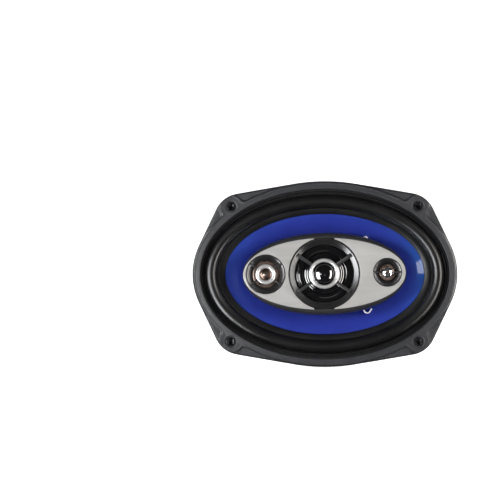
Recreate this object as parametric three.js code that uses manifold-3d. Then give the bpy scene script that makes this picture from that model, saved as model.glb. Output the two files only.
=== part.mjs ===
// A 6 x 9 inch four-way coaxial car speaker: an oval woofer with a bridge pod of three small drivers over its cone.
// Millimetres. It stands upright, +X to the right and +Z up, and fires towards -Y.
// y = 0 is the mounting plane, the rear face of the flange; the origin is the middle of the panel cut-out.
import * as THREE from "three";
import { mergeVertices } from "three/addons/utils/BufferGeometryUtils.js";
import Module from "manifold-3d";

// ---- Driving dimensions ----
const SEAT = 0.3; // gap kept between two pieces that are seated, glued or clamped together

const FLANGE_HALF_LENGTH = 117.5;
const FLANGE_HALF_HEIGHT = 82.5;
const FLANGE_THICK = 1.2;
const EAR_FROM_END = 43; // end of the oval in to the centre of each rounded corner
const EAR_FROM_TOP = 34.7;
const EAR_X = FLANGE_HALF_LENGTH - EAR_FROM_END;
const EAR_Z = FLANGE_HALF_HEIGHT - EAR_FROM_TOP;
const EAR_RADIUS = 24;
const SCREW_FROM_END = 34.5; // end of the oval in to each of the four mounting holes
const SCREW_FROM_TOP = 22.5;
const SCREW_X = FLANGE_HALF_LENGTH - SCREW_FROM_END;
const SCREW_Z = FLANGE_HALF_HEIGHT - SCREW_FROM_TOP;
const SCREW_HOLE_RADIUS = 3.3;

const TRIM_BAND = 6.6; // flange oval to trim opening
const TRIM_REVEAL = 0.9; // the steel flange shows this much all round the trim ring
const TRIM_THICK = 2; // at the low flats beside each ear
const TRIM_RISE = 1.8; // how far its crown stands above those flats
const CROWN_EDGE = 1; // the crown's oval stops this far inside the flange oval
const BOSS_RADIUS = 12; // the crown round each screw
const POCKET_RADIUS = 6;
const POCKET_DEPTH = 1.6;
const BUSH_HEAD_RADIUS = 4.8;
const BUSH_BORE_RADIUS = 2.2;
const BUSH_RECESS = 4.8; // across the flats of the square recess round the bore

const SHELL = 1.2; // sheet thickness of the pressed basket
const THROAT = 0.9; // the basket's drawn wall stands this far inside the trim opening
const SURROUND_SHELF_DEPTH = 4.0;
const SURROUND_SHELF_WIDTH = 4.0;
const SPIDER_SHELF_Y = 34;
const SPIDER_SHELF_WIDTH = 7;
const SPIDER_RADIUS = 54;
const FLOOR_RADIUS = 44;
const BASKET_DEPTH = 47.2;
const RIB_WIDTH = 13;
const RIB_ANGLES = [0, 37, 90, 143, 180, 217, 270, 323]; // degrees from +X
const WINDOW_TOP = 9.5;

const SURROUND_SPAN = 22.4; // trim opening to the visible edge of the cone
const SURROUND_LIP = 4.2;
const ROLL_WIDTH = 13.2;
const ROLL_HEIGHT = 7.0;
const RUBBER = 1.0;

const CONE_THICK = 0.9;
const CONE_DEPTH = 25;
const CONE_FLARE = 1.2; // above 1 the cone is steeper at its neck
const COIL_RADIUS = 19; // inside of the voice-coil former
const FORMER_WALL = 0.5;
const FORMER_LENGTH = 31;
const WINDING_THICK = 0.8;
const WINDING_HEIGHT = 13;
const CONE_TRAVEL = 5;

const SPIDER_CLOTH = 0.7;
const SPIDER_WAVES = 3;
const SPIDER_WAVE_HEIGHT = 1.5;

const MAGNET_RADIUS = 50;
const MAGNET_BORE = 27;
const MAGNET_THICK = 17;
const PLATE_RADIUS = 46;
const PLATE_THICK = 5.5;
const COIL_GAP = 0.8; // working clearance each side of the coil
const RIVET_RADIUS = 2.2;
const RIVET_CIRCLE = 34;

const BOLT_RADIUS = 4.8;
const BOLT_BORE = 3.0;
const BOLT_HEAD_RADIUS = 8;
const BOLT_HEAD_THICK = 1.4;
const NUT_ACROSS_FLATS = 16;
const NUT_THICK = 5;
const WASHER_RADIUS = 10;
const WASHER_THICK = 1;
const STANDOFF_RADIUS = 8;

const MID_RADIUS = 30.9;
const MID_THROAT_STEP = 4.4; // outside of the midrange bezel in to its throat
const TWEETER_RADIUS = 17.1;
const TWEETER_GAP = 4; // midrange bezel to tweeter bezel
const TWEETER_X = -(MID_RADIUS + TWEETER_GAP + TWEETER_RADIUS);
const TWEETER_FROM_END = 19.4; // end of the silver face in to the middle of the tweeter
const POD_HALF_LENGTH = TWEETER_FROM_END - TWEETER_X; // the silver face
const POD_RIM = 1.0; // how far the silver face stands above the midrange bezel
const POD_HALF_HEIGHT = MID_RADIUS + POD_RIM;
const POD_POWER = 2.03; // a power over 2 blunts the ends of the oval
const POD_FACE_Y = -15.6;
const POD_FLARE_LENGTH = 1.4; // how much wider the pod is at its base than at its face
const POD_FLARE_HEIGHT = 4.8;
const POD_WALL = 2;
const POD_BASE_Y = -3;
const POD_FLOOR_Y = 7.2;
const FACE_THICK = 1.5;
const WING_GAP = 9; // half the gap between the two silver wings

const MID_THROAT = MID_RADIUS - MID_THROAT_STEP;
const TWEETER_Z = -0.5;
const SUPER_RADIUS = 12.3;
const SUPER_GAP = 12.8; // midrange bezel to super tweeter bezel
const SUPER_X = MID_RADIUS + SUPER_GAP + SUPER_RADIUS;
const SUPER_Z = 1.1;
const BEVEL_WIDTH = 3.5;
const SPOKE_ANGLE = 35;

const TERMINAL_Z = 16; // half the length of the terminal board
const BOARD_THICK = 1.6;
const TAB_THICK = 0.8;
const WIRE_RADIUS = 0.9;
const TINSEL_RADIUS = 0.7;
const CAPACITOR_RADIUS = 4.5;
const CAPACITOR_LENGTH = 17;

const OVAL_STEPS = 32; // facets round the large ovals
const ROUND_STEPS = 20;
const SMALL_STEPS = 12;

// ---- Helpers ----
const wasm = await Module();
wasm.setup();

const part = new THREE.Group();

// Adds one named piece, with its colour, roughness and metalness.
function add(name, geometry, [colour, roughness, metalness]) {
  const mesh = new THREE.Mesh(geometry, new THREE.MeshStandardMaterial({ color: colour, roughness, metalness }));
  mesh.name = name;
  part.add(mesh);
  return mesh;
}

function toSolid(geometry) {
  const loose = geometry.index ? geometry.toNonIndexed() : geometry;
  const bare = new THREE.BufferGeometry().setAttribute("position", loose.getAttribute("position"));
  const merged = mergeVertices(bare, 1e-3);
  return new wasm.Manifold(
    new wasm.Mesh({
      numProp: 3,
      vertProperties: merged.attributes.position.array,
      triVerts: new Uint32Array(merged.index.array),
    }),
  );
}

function toGeometry(solid) {
  const { numProp, vertProperties, triVerts } = solid.getMesh();
  const positions = new Float32Array((vertProperties.length / numProp) * 3);
  for (let i = 0; i < positions.length / 3; i++) {
    positions.set(vertProperties.subarray(i * numProp, i * numProp + 3), i * 3);
  }
  const geometry = new THREE.BufferGeometry().setAttribute("position", new THREE.BufferAttribute(positions, 3));
  return geometry.setIndex(new THREE.BufferAttribute(triVerts, 1)).toNonIndexed();
}

const joined = (first, ...rest) => toGeometry(rest.reduce((sum, g) => sum.add(toSolid(g)), toSolid(first)));
const cut = (first, ...rest) => toGeometry(rest.reduce((sum, g) => sum.subtract(toSolid(g)), toSolid(first)));
const common = (first, second) => toGeometry(toSolid(first).intersect(toSolid(second)));

const oval = (a, b) => ({ a, b });
const inset = ({ a, b }, by) => oval(a - by, b - by);
const between = (p, q, t) => oval(p.a + (q.a - p.a) * t, p.b + (q.b - p.b) * t);
const at = ({ a, b }, y) => [a, b, y];
const signedPower = (x, p) => Math.sign(x) * Math.abs(x) ** p;

// A closed section swept round Y on ovals. A station is [half length, half height, y]; power 2 gives ellipses.
function ovalTurned(stations, { steps = OVAL_STEPS, power = 2 } = {}) {
  const area = stations.reduce((sum, [a, , y], i) => {
    const [a2, , y2] = stations[(i + 1) % stations.length];
    return sum + a * y2 - a2 * y;
  }, 0);
  const ordered = area > 0 ? stations : [...stations].reverse();
  const loop = [...ordered, ordered[0]];
  const geometry = new THREE.LatheGeometry(loop.map(([a, , y]) => new THREE.Vector2(a, y)), steps);
  const position = geometry.attributes.position;
  for (let i = 0; i < position.count; i++) {
    const [a, b] = loop[i % loop.length];
    const phi = ((Math.floor(i / loop.length) % steps) / steps) * 2 * Math.PI;
    position.setX(i, a * signedPower(Math.sin(phi), 2 / power));
    position.setZ(i, b * signedPower(Math.cos(phi), 2 / power));
  }
  return geometry;
}

// A closed section turned round Y: points are [radius, y].
function turned(points, steps = ROUND_STEPS) {
  return ovalTurned(points.map(([r, y]) => [r, r, y]), { steps });
}

const tube = (outer, inner, front, back, steps) =>
  turned([[outer, front], [outer, back], [inner, back], [inner, front]], steps);
const disc = (radius, front, back, steps) => turned([[0, front], [radius, front], [radius, back], [0, back]], steps);

// A flat plate cut to a shape drawn in X and Z, from y = front to y = back.
function plate(shape, front, back, curveSegments = 12) {
  const geometry = new THREE.ExtrudeGeometry(shape, { depth: back - front, bevelEnabled: false, curveSegments });
  return geometry.rotateX(Math.PI / 2).translate(0, back, 0);
}

function box(x0, x1, y0, y1, z0, z1) {
  return new THREE.BoxGeometry(x1 - x0, y1 - y0, z1 - z0).translate((x0 + x1) / 2, (y0 + y1) / 2, (z0 + z1) / 2);
}

const polar = (radius, degrees) => {
  const angle = (degrees * Math.PI) / 180;
  return new THREE.Vector2(radius * Math.cos(angle), radius * Math.sin(angle));
};

// A round wire along a smooth route.
function wire(route, radius, steps) {
  const section = new THREE.Shape(Array.from({ length: 6 }, (_, i) => polar(radius, i * 60)));
  const path = new THREE.CatmullRomCurve3(route.map((p) => new THREE.Vector3(...p)), false, "centripetal");
  return new THREE.ExtrudeGeometry(section, { steps, extrudePath: path, bevelEnabled: false });
}

// The convex outline round a cloud of points.
function hull(points) {
  const sorted = [...points].sort((p, q) => p.x - q.x || p.y - q.y);
  const turn = (o, p, q) => (p.x - o.x) * (q.y - o.y) - (p.y - o.y) * (q.x - o.x);
  const chain = (list) => {
    const kept = [];
    for (const p of list) {
      while (kept.length > 1 && turn(kept.at(-2), kept.at(-1), p) <= 1e-6) kept.pop();
      kept.push(p);
    }
    return kept.slice(0, -1);
  };
  return [...chain(sorted), ...chain(sorted.reverse())];
}

const quadrants = [[1, 1], [-1, 1], [-1, -1], [1, -1]];

// ---- Finishes: colour, roughness, metalness ----
const BLACK_STEEL = [0x17181a, 0.5, 0.6];
const TRIM_PLASTIC = [0x3a3b3e, 0.65, 0];
const BUTYL = [0x161617, 0.45, 0];
const BLUE_CONE = [0x2338a8, 0.28, 0];
const ZINC = [0xb4b2a6, 0.35, 0.9];
const FERRITE = [0x2b2b2d, 0.75, 0];
const BLACK_ABS = [0x222326, 0.4, 0];
const GLOSS_BLACK = [0x060607, 0.08, 0];
const SILVER_PAINT = [0xc3c4c4, 0.32, 0.7];
const CHROME = [0xe6e6e6, 0.12, 1];
const BRONZE_FILM = [0x6d4f40, 0.25, 0.5];
const SPIDER_YELLOW = [0xb98a3c, 0.9, 0];
const COPPER = [0xb0643a, 0.35, 0.9];
const PAPER_BOARD = [0x6b4a2c, 0.7, 0];
const TIN = [0xc9c9c6, 0.3, 1];
const FOIL = [0xb9bcc0, 0.3, 0.9];
const SLEEVE_BLUE = [0x1f2f6b, 0.4, 0];
const RED_PVC = [0xa3201c, 0.5, 0];
const BLACK_PVC = [0x151515, 0.5, 0];
const BRAID = [0xcdc6cf, 0.5, 0.6];

// ---- Ovals that several pieces share ----
const flangeOval = oval(FLANGE_HALF_LENGTH, FLANGE_HALF_HEIGHT);
const trimOpening = inset(flangeOval, TRIM_BAND);
const throatOuter = inset(trimOpening, THROAT);
const throatInner = inset(throatOuter, SHELL);
const shelfEdge = inset(throatInner, SURROUND_SHELF_WIDTH);
const coneSight = inset(trimOpening, SURROUND_SPAN);
const rollInner = inset(coneSight, -SURROUND_LIP);
const rollOuter = inset(rollInner, -ROLL_WIDTH);

// The flange outline, less an inset: the smallest convex shape round the oval and the four rounded corners.
function flangeOutline(by = 0) {
  const { a, b } = inset(flangeOval, by);
  const onOval = Array.from({ length: OVAL_STEPS }, (_, i) => {
    const angle = (i / OVAL_STEPS) * 2 * Math.PI;
    return new THREE.Vector2(a * Math.cos(angle), b * Math.sin(angle));
  });
  const onEars = quadrants.flatMap(([sx, sz]) =>
    Array.from({ length: 7 }, (_, i) => {
      const p = polar(EAR_RADIUS - by, 15 + i * 10);
      return new THREE.Vector2(sx * (EAR_X + p.x), sz * (EAR_Z + p.y));
    }),
  );
  return hull([...onOval, ...onEars]);
}

function ellipseHole({ a, b }) {
  return new THREE.Path(
    Array.from({ length: OVAL_STEPS }, (_, i) => {
      const angle = (i / OVAL_STEPS) * 2 * Math.PI;
      return new THREE.Vector2(a * Math.sin(angle), b * Math.cos(angle));
    }),
  );
}

function circlePath(x, z, radius, steps = SMALL_STEPS) {
  const points = Array.from({ length: steps }, (_, i) => polar(radius, (i * 360) / steps));
  return new THREE.Path(points.map((p) => new THREE.Vector2(x + p.x, z + p.y)));
}

const circleShape = (x, z, radius, steps) => new THREE.Shape(circlePath(x, z, radius, steps).getPoints());

function flangeShape(opening, by = 0) {
  const shape = new THREE.Shape(flangeOutline(by));
  shape.holes.push(ellipseHole(opening));
  for (const [sx, sz] of quadrants) shape.holes.push(circlePath(sx * SCREW_X, sz * SCREW_Z, SCREW_HOLE_RADIUS, 12));
  return shape;
}

// ---- Basket: pressed steel, with a shelf for the surround, eight windows, a shelf for the spider and a floor ----
const shelfFront = SURROUND_SHELF_DEPTH - SHELL;
const floorFront = BASKET_DEPTH - SHELL;
const floorHole = COIL_RADIUS + FORMER_WALL + WINDING_THICK + 3 * COIL_GAP + SEAT;
const spiderOval = oval(SPIDER_RADIUS + 2, SPIDER_RADIUS);
const spiderInner = SPIDER_RADIUS - SPIDER_SHELF_WIDTH;
const windowBottom = SPIDER_SHELF_Y - 3;
const circle = (r) => oval(r, r);

const bowl = ovalTurned([
  at(inset(trimOpening, -2), -FLANGE_THICK),
  at(throatInner, -FLANGE_THICK),
  at(throatInner, shelfFront),
  at(shelfEdge, shelfFront),
  at(inset(shelfEdge, 2), shelfFront + 5),
  at(inset(spiderOval, -5), SPIDER_SHELF_Y - 2.5),
  at(spiderOval, SPIDER_SHELF_Y),
  at(circle(spiderInner), SPIDER_SHELF_Y),
  at(circle(FLOOR_RADIUS), floorFront - 1.5),
  at(circle(FLOOR_RADIUS - 1.5), floorFront),
  at(circle(floorHole), floorFront),
  at(circle(floorHole), BASKET_DEPTH),
  at(circle(FLOOR_RADIUS - 1), BASKET_DEPTH),
  at(circle(FLOOR_RADIUS + SHELL), floorFront - 1),
  at(circle(spiderInner + SHELL), SPIDER_SHELF_Y + SHELL),
  at(inset(spiderOval, -0.4), SPIDER_SHELF_Y + SHELL),
  at(inset(spiderOval, -5 - SHELL), SPIDER_SHELF_Y - 1.8),
  at(inset(shelfEdge, 2 - SHELL), shelfFront + 5.5),
  at(inset(shelfEdge, -SHELL), SURROUND_SHELF_DEPTH),
  at(throatOuter, SURROUND_SHELF_DEPTH),
  at(throatOuter, 0),
  at(inset(trimOpening, -2), 0),
]);

// One window between two neighbouring ribs: a wedge with its corners rounded, cut from front to back.
function windowCutter(from, to) {
  const reach = FLANGE_HALF_LENGTH;
  const side = (degrees, sign) => {
    const along = polar(1, degrees);
    const across = new THREE.Vector2(-along.y, along.x).multiplyScalar((sign * RIB_WIDTH) / 2);
    return [along.clone().multiplyScalar(spiderInner).add(across), along.clone().multiplyScalar(reach).add(across)];
  };
  const [nearA, farA] = side(from, 1);
  const [nearB, farB] = side(to, -1);
  const middle = polar(reach * 1.3, (from + to) / 2);
  return plate(new THREE.Shape([nearA, farA, middle, farB, nearB]), WINDOW_TOP, windowBottom);
}

const windows = RIB_ANGLES.map((angle, i) =>
  windowCutter(angle, i + 1 < RIB_ANGLES.length ? RIB_ANGLES[i + 1] : RIB_ANGLES[0] + 360),
);

// A lug bent out of the spider shelf carries the terminal board.
const lugX = spiderOval.a + 6;
const lug = joined(
  box(spiderOval.a - 4, lugX, SPIDER_SHELF_Y + 0.1, SPIDER_SHELF_Y + SHELL - 0.1, 4 - TERMINAL_Z, TERMINAL_Z - 4),
  box(lugX - SHELL, lugX, SPIDER_SHELF_Y + 0.1, SPIDER_SHELF_Y + 12, 4 - TERMINAL_Z, TERMINAL_Z - 4),
);

const rivetPlaces = [45, 135, 225, 315].map((degrees) => polar(RIVET_CIRCLE, degrees));
const rivetHoles = (front, back) =>
  rivetPlaces.map((p) => plate(circleShape(p.x, p.y, RIVET_RADIUS + SEAT, 12), front, back));

const flange = plate(flangeShape(throatInner), -FLANGE_THICK, 0);
const boardFront = SPIDER_SHELF_Y + 3;
const boardBack = boardFront + 17;
const boardHoles = [-1, 1].map((side) => ({ z: side * (TERMINAL_Z - 7), y: boardFront + 4 }));
const boardRivetCutter = ({ z, y }) =>
  new THREE.CylinderGeometry(1.5 + SEAT, 1.5 + SEAT, 8, 12).rotateZ(Math.PI / 2).translate(lugX, y, z);
add(
  "basket",
  cut(joined(flange, bowl, lug), ...windows, ...rivetHoles(floorFront - 1, BASKET_DEPTH + 1), ...boardHoles.map(boardRivetCutter)),
  BLACK_STEEL,
);

// ---- Trim ring: moulded cover on the flange; its crown runs round the opening and out round each screw ----
const trimBack = -FLANGE_THICK - SEAT;
const trimFlat = trimBack - TRIM_THICK;
const trimFront = trimFlat - TRIM_RISE;
const crownOval = inset(flangeOval, CROWN_EDGE);
const crownRing = ovalTurned([
  at(crownOval, trimFlat + 0.5),
  at(crownOval, trimFront + 0.8),
  at(inset(crownOval, 1), trimFront),
  at(inset(trimOpening, -1.2), trimFront),
  at(trimOpening, trimFront + 1),
  at(trimOpening, trimFlat + 0.5),
]);
const aroundScrews = (radius, front, back) =>
  quadrants.map(([sx, sz]) => plate(circleShape(sx * SCREW_X, sz * SCREW_Z, radius, 16), front, back));
const openingCutter = ovalTurned([[0, 0, trimFront - 1], at(trimOpening, trimFront - 1), at(trimOpening, 0), [0, 0, 0]]);
const bosses = aroundScrews(BOSS_RADIUS, trimFront, trimFlat + 0.5).map((boss) => cut(boss, openingCutter));
const crown = common(
  joined(crownRing, ...bosses),
  plate(new THREE.Shape(flangeOutline(TRIM_REVEAL)), trimFront - 1, trimBack),
);
add(
  "trim_ring",
  cut(
    joined(plate(flangeShape(trimOpening, TRIM_REVEAL), trimFlat, trimBack), crown),
    ...aroundScrews(POCKET_RADIUS, trimFront - 1, trimFront + POCKET_DEPTH),
    ...aroundScrews(SCREW_HOLE_RADIUS, trimFront - 1, trimBack + 1),
  ),
  TRIM_PLASTIC,
);

// ---- Bushes: a nylon bush in each screw hole, with a square recess, a round bore and a thin web that the screw pierces ----
const bushHeadBack = trimFront + POCKET_DEPTH - SEAT;
const bushHeadFront = bushHeadBack - 0.8;
quadrants.forEach(([sx, sz], i) => {
  const bush = turned(
    [
      [0, bushHeadFront],
      [BUSH_HEAD_RADIUS - 0.3, bushHeadFront],
      [BUSH_HEAD_RADIUS, bushHeadFront + 0.3],
      [BUSH_HEAD_RADIUS, bushHeadBack],
      [SCREW_HOLE_RADIUS - SEAT - 0.15, bushHeadBack],
      [SCREW_HOLE_RADIUS - SEAT - 0.15, -SEAT],
      [0, -SEAT],
    ],
    12,
  );
  const reach = BUSH_RECESS / 2;
  const recess = box(-reach, reach, bushHeadFront - 1, bushHeadFront + 0.5, -reach, reach).rotateY(Math.PI / 4);
  const bore = disc(BUSH_BORE_RADIUS, bushHeadFront - 1, -SEAT - 0.7, 12);
  add(`screw_bush_${i + 1}`, cut(bush, joined(recess, bore)).translate(sx * SCREW_X, 0, sz * SCREW_Z), BLACK_ABS);
});

// ---- Surround: butyl rubber, a glued land, one half roll and a lip on the cone ----
const landBack = shelfFront - SEAT;
const landFront = landBack - RUBBER;
const ROLL_STEPS = 4;
const rollArc = (thickness) =>
  Array.from({ length: ROLL_STEPS + 1 }, (_, i) => {
    const angle = (i / ROLL_STEPS) * Math.PI;
    const across = ((1 - Math.cos(angle)) / 2) * (ROLL_WIDTH - 2 * thickness) + thickness;
    return at(inset(rollOuter, across), landFront + thickness - Math.sin(angle) * ROLL_HEIGHT);
  });
const surroundOuter = inset(throatInner, SEAT);
add(
  "surround",
  ovalTurned([
    at(surroundOuter, landBack),
    at(surroundOuter, landFront),
    ...rollArc(0),
    at(coneSight, landFront),
    at(coneSight, landBack),
    ...rollArc(RUBBER).reverse(),
  ]),
  BUTYL,
);

// ---- Cone: injection-moulded polypropylene, an oval mouth that runs down to a round neck on the voice coil ----
const coneMouth = inset(coneSight, -SURROUND_LIP + 0.6);
const coneNeck = circle(COIL_RADIUS + FORMER_WALL + SEAT);
const coneFront = landBack + SEAT;
const CONE_STEPS = 3;
const coneDepthAt = (t) => coneFront + CONE_DEPTH * (1 - t) ** CONE_FLARE;
const coneFace = (behind) =>
  Array.from({ length: CONE_STEPS + 1 }, (_, i) => {
    const t = i / CONE_STEPS;
    return at(between(coneNeck, coneMouth, t), coneDepthAt(t) + behind);
  });
add("cone", ovalTurned([...coneFace(0), ...coneFace(CONE_THICK).reverse()]), BLUE_CONE);

// ---- Voice coil: former and copper winding ----
const neckY = coneFront + CONE_DEPTH;
const formerOuter = COIL_RADIUS + FORMER_WALL;
const formerFront = neckY - 1.5;
const topPlateFront = BASKET_DEPTH + SEAT;
const topPlateBack = topPlateFront + PLATE_THICK;
const coilCentre = (topPlateFront + topPlateBack) / 2;
const windingFront = coilCentre - WINDING_HEIGHT / 2;
const formerBack = Math.max(formerFront + FORMER_LENGTH, windingFront + WINDING_HEIGHT + SEAT);
add("voice_coil_former", tube(formerOuter, COIL_RADIUS, formerFront, formerBack), FOIL);
const windingInner = formerOuter + 0.1;
const windingOuter = windingInner + WINDING_THICK;
add("voice_coil_winding", tube(windingOuter, windingInner, windingFront, windingFront + WINDING_HEIGHT), COPPER);

// ---- Spider: corrugated cloth, former to shelf ----
const spiderBack = SPIDER_SHELF_Y - SEAT;
const spiderOuterRadius = SPIDER_RADIUS - 1;
const corrugatedFrom = formerOuter + 5;
const corrugatedTo = spiderInner - 4;
const WAVE_STEPS = SPIDER_WAVES * 2;
const spiderFace = (behind) => [
  [formerOuter + SEAT, spiderBack - SPIDER_CLOTH + behind],
  ...Array.from({ length: WAVE_STEPS }, (_, i) => {
    const radius = corrugatedFrom + ((corrugatedTo - corrugatedFrom) * i) / (WAVE_STEPS - 1);
    return [radius, spiderBack - SPIDER_CLOTH + behind + (i % 2 ? 1 : -1) * SPIDER_WAVE_HEIGHT];
  }),
  [spiderInner - 1.5, spiderBack - SPIDER_CLOTH + behind],
  [spiderOuterRadius, spiderBack - SPIDER_CLOTH + behind],
];
add("spider", turned([...spiderFace(0), ...spiderFace(SPIDER_CLOTH).reverse()], ROUND_STEPS), SPIDER_YELLOW);

// ---- Magnet system ----
const gapOuter = windingOuter + COIL_GAP;
const poleRadius = COIL_RADIUS - COIL_GAP;
const topPlate = tube(PLATE_RADIUS, gapOuter, topPlateFront, topPlateBack);
add("top_plate", cut(topPlate, ...rivetHoles(topPlateFront - 1, topPlateBack + 1)), ZINC);

const magnetFront = topPlateBack + SEAT;
const magnetBack = magnetFront + MAGNET_THICK;
const magnetCorner = 1;
add(
  "magnet",
  turned([
    [MAGNET_RADIUS - magnetCorner, magnetFront],
    [MAGNET_RADIUS, magnetFront + magnetCorner],
    [MAGNET_RADIUS, magnetBack - magnetCorner],
    [MAGNET_RADIUS - magnetCorner, magnetBack],
    [MAGNET_BORE, magnetBack],
    [MAGNET_BORE, magnetFront],
  ]),
  FERRITE,
);

const backPlateFront = magnetBack + SEAT;
const backPlateBack = backPlateFront + PLATE_THICK;
const boltHole = BOLT_RADIUS + SEAT;
add(
  "yoke",
  turned([
    [boltHole, topPlateFront],
    [poleRadius - 0.6, topPlateFront],
    [poleRadius, topPlateFront + 0.6],
    [poleRadius, backPlateFront],
    [PLATE_RADIUS, backPlateFront],
    [PLATE_RADIUS, backPlateBack - 1],
    [PLATE_RADIUS - 1, backPlateBack],
    [boltHole, backPlateBack],
  ]),
  ZINC,
);

// Rivets that clench the basket floor to the top plate, with their flat heads inside the basket.
rivetPlaces.forEach((place, i) => {
  const head = RIVET_RADIUS + 1.6;
  const front = floorFront - SEAT;
  const rivet = turned(
    [[0, front - 1], [head - 0.6, front - 1], [head, front - 0.5], [head, front], [RIVET_RADIUS, front], [RIVET_RADIUS, topPlateBack - 0.4], [0, topPlateBack - 0.4]],
    12,
  );
  add(`basket_rivet_${i + 1}`, rivet.translate(place.x, 0, place.y), ZINC);
});

// ---- Centre fixing: a hollow bolt through pod, standoff, pole and nut; the pod's wires run inside it ----
const podFloorFront = POD_FLOOR_Y - POD_WALL;
const boltHeadBack = podFloorFront - SEAT;
const boltHeadFront = boltHeadBack - BOLT_HEAD_THICK;
const washerFront = backPlateBack + SEAT;
const washerBack = washerFront + WASHER_THICK;
const nutFront = washerBack + SEAT;
const nutBack = nutFront + NUT_THICK;
const boltBack = nutBack + 1.5;
add(
  "centre_bolt",
  turned(
    [
      [BOLT_BORE, boltHeadFront],
      [BOLT_HEAD_RADIUS, boltHeadFront],
      [BOLT_HEAD_RADIUS, boltHeadBack],
      [BOLT_RADIUS, boltHeadBack],
      [BOLT_RADIUS, boltBack - 0.8],
      [BOLT_RADIUS - 0.8, boltBack],
      [BOLT_BORE, boltBack],
    ],
    SMALL_STEPS,
  ),
  ZINC,
);
add("standoff", tube(STANDOFF_RADIUS, boltHole, POD_FLOOR_Y + SEAT, topPlateFront - SEAT, SMALL_STEPS), ZINC);
add("lock_washer", tube(WASHER_RADIUS, boltHole, washerFront, washerBack, SMALL_STEPS), ZINC);
const hexagon = new THREE.Shape(Array.from({ length: 6 }, (_, i) => polar(NUT_ACROSS_FLATS / Math.sqrt(3), i * 60)));
hexagon.holes.push(circlePath(0, 0, boltHole, SMALL_STEPS));
add("centre_nut", plate(hexagon, nutFront, nutBack), ZINC);

// ---- Pod housing: a moulded eye-shaped tray that carries the three small drivers ----
const podFace = oval(POD_HALF_LENGTH, POD_HALF_HEIGHT);
const podBase = oval(POD_HALF_LENGTH + POD_FLARE_LENGTH, POD_HALF_HEIGHT + POD_FLARE_HEIGHT);
const podShoulderY = POD_BASE_Y + 2;
const podFaceBack = POD_FACE_Y + FACE_THICK;
const podRound = { steps: 32, power: POD_POWER };
add(
  "pod_housing",
  ovalTurned(
    [
      at(inset(podFace, -0.9), podFaceBack + SEAT),
      at(podBase, POD_BASE_Y),
      at(inset(podBase, 3), podShoulderY),
      at(between(circle(STANDOFF_RADIUS + 12), podBase, 0.4), (podShoulderY + POD_FLOOR_Y) / 2 + 0.6),
      at(circle(STANDOFF_RADIUS + 12), POD_FLOOR_Y),
      at(circle(boltHole), POD_FLOOR_Y),
      at(circle(boltHole), podFloorFront),
      at(circle(STANDOFF_RADIUS + 11), podFloorFront),
      at(between(circle(STANDOFF_RADIUS + 11), inset(podBase, POD_WALL), 0.4), (podShoulderY + podFloorFront) / 2 - 0.4),
      at(inset(podBase, 4.5), podShoulderY - POD_WALL),
      at(inset(podBase, POD_WALL), POD_BASE_Y - POD_WALL + 0.6),
      at(inset(podFace, 0.9), podFaceBack + SEAT),
    ],
    podRound,
  ),
  BLACK_ABS,
);

// The two silver wings: the face outline less the midrange circle, the tweeter hole and the middle gap.
const facePath = Array.from({ length: 48 }, (_, i) => {
  const angle = (i / 48) * 2 * Math.PI;
  return new THREE.Vector2(
    podFace.a * signedPower(Math.cos(angle), 2 / POD_POWER),
    podFace.b * signedPower(Math.sin(angle), 2 / POD_POWER),
  );
});
const facePlate = plate(new THREE.Shape(facePath), POD_FACE_Y, podFaceBack);
const through = (x, z, radius, steps) =>
  plate(circleShape(x, z, radius, steps), POD_FACE_Y - 1, podFaceBack + 1);
const wingCut = [
  through(0, 0, MID_RADIUS + SEAT + 0.4, ROUND_STEPS),
  through(TWEETER_X, TWEETER_Z, TWEETER_RADIUS + SEAT + 0.1, 24),
  through(SUPER_X, SUPER_Z, SUPER_RADIUS + SEAT + 0.1, 24),
];
const half = (side) => {
  const reach = side * (POD_HALF_LENGTH + 1);
  const near = side * WING_GAP;
  const rest = -side * (POD_HALF_LENGTH + 1);
  return box(Math.min(near, rest), Math.max(near, rest), POD_FACE_Y - 1, podFaceBack + 1, -Math.abs(reach), Math.abs(reach));
};
add("face_plate_left", cut(facePlate, ...wingCut, half(-1)), SILVER_PAINT);
add("face_plate_right", cut(facePlate, ...wingCut, half(1)), SILVER_PAINT);

// ---- Small-driver kit shared by the three units on the pod ----
const bevelFront = POD_FACE_Y - 0.6;
const bevelDepth = 4.2;
const bevelBack = bevelFront + bevelDepth;

// A cup with a bevelled mouth: the visible ring round each small driver. x and z place its axis.
function bezelCup(name, x, z, outer, throat, back, finish) {
  const cup = turned(
    [
      [outer, back],
      [outer, bevelFront + 0.5],
      [outer - 0.5, bevelFront],
      [throat, bevelBack],
      [throat, back - 1],
      [throat - 1, back - 1],
      [throat - 1, back],
    ],
    ROUND_STEPS,
  );
  return add(name, cup.translate(x, 0, z), finish);
}

// A guard: a thin hub ring on straight spokes that rest on the bevel.
function guard(name, x, z, hubOuter, hubInner, tip, width, angles, finish) {
  const back = bevelFront + 0.9;
  const front = back - 1.2;
  const hub = tube(hubOuter, hubInner, front, back);
  const spokes = angles.map((degrees) =>
    box(hubOuter - 0.6, tip, front, back, -width / 2, width / 2).rotateY((-degrees * Math.PI) / 180),
  );
  return add(name, joined(hub, ...spokes).translate(x, 0, z), finish);
}

const fourSpokes = [SPOKE_ANGLE, 180 - SPOKE_ANGLE, 180 + SPOKE_ANGLE, -SPOKE_ANGLE];
const guardFront = bevelFront + 0.9 - 1.2;

// A half-round ring in front of the guard's hub.
function collar(outer, inner, height) {
  const back = guardFront - SEAT;
  const middle = (outer + inner) / 2;
  return turned(
    [[outer, back], [outer - 0.3, back - height * 0.6], [middle, back - height], [inner + 0.3, back - height * 0.6], [inner, back]],
    20,
  );
}

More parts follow.
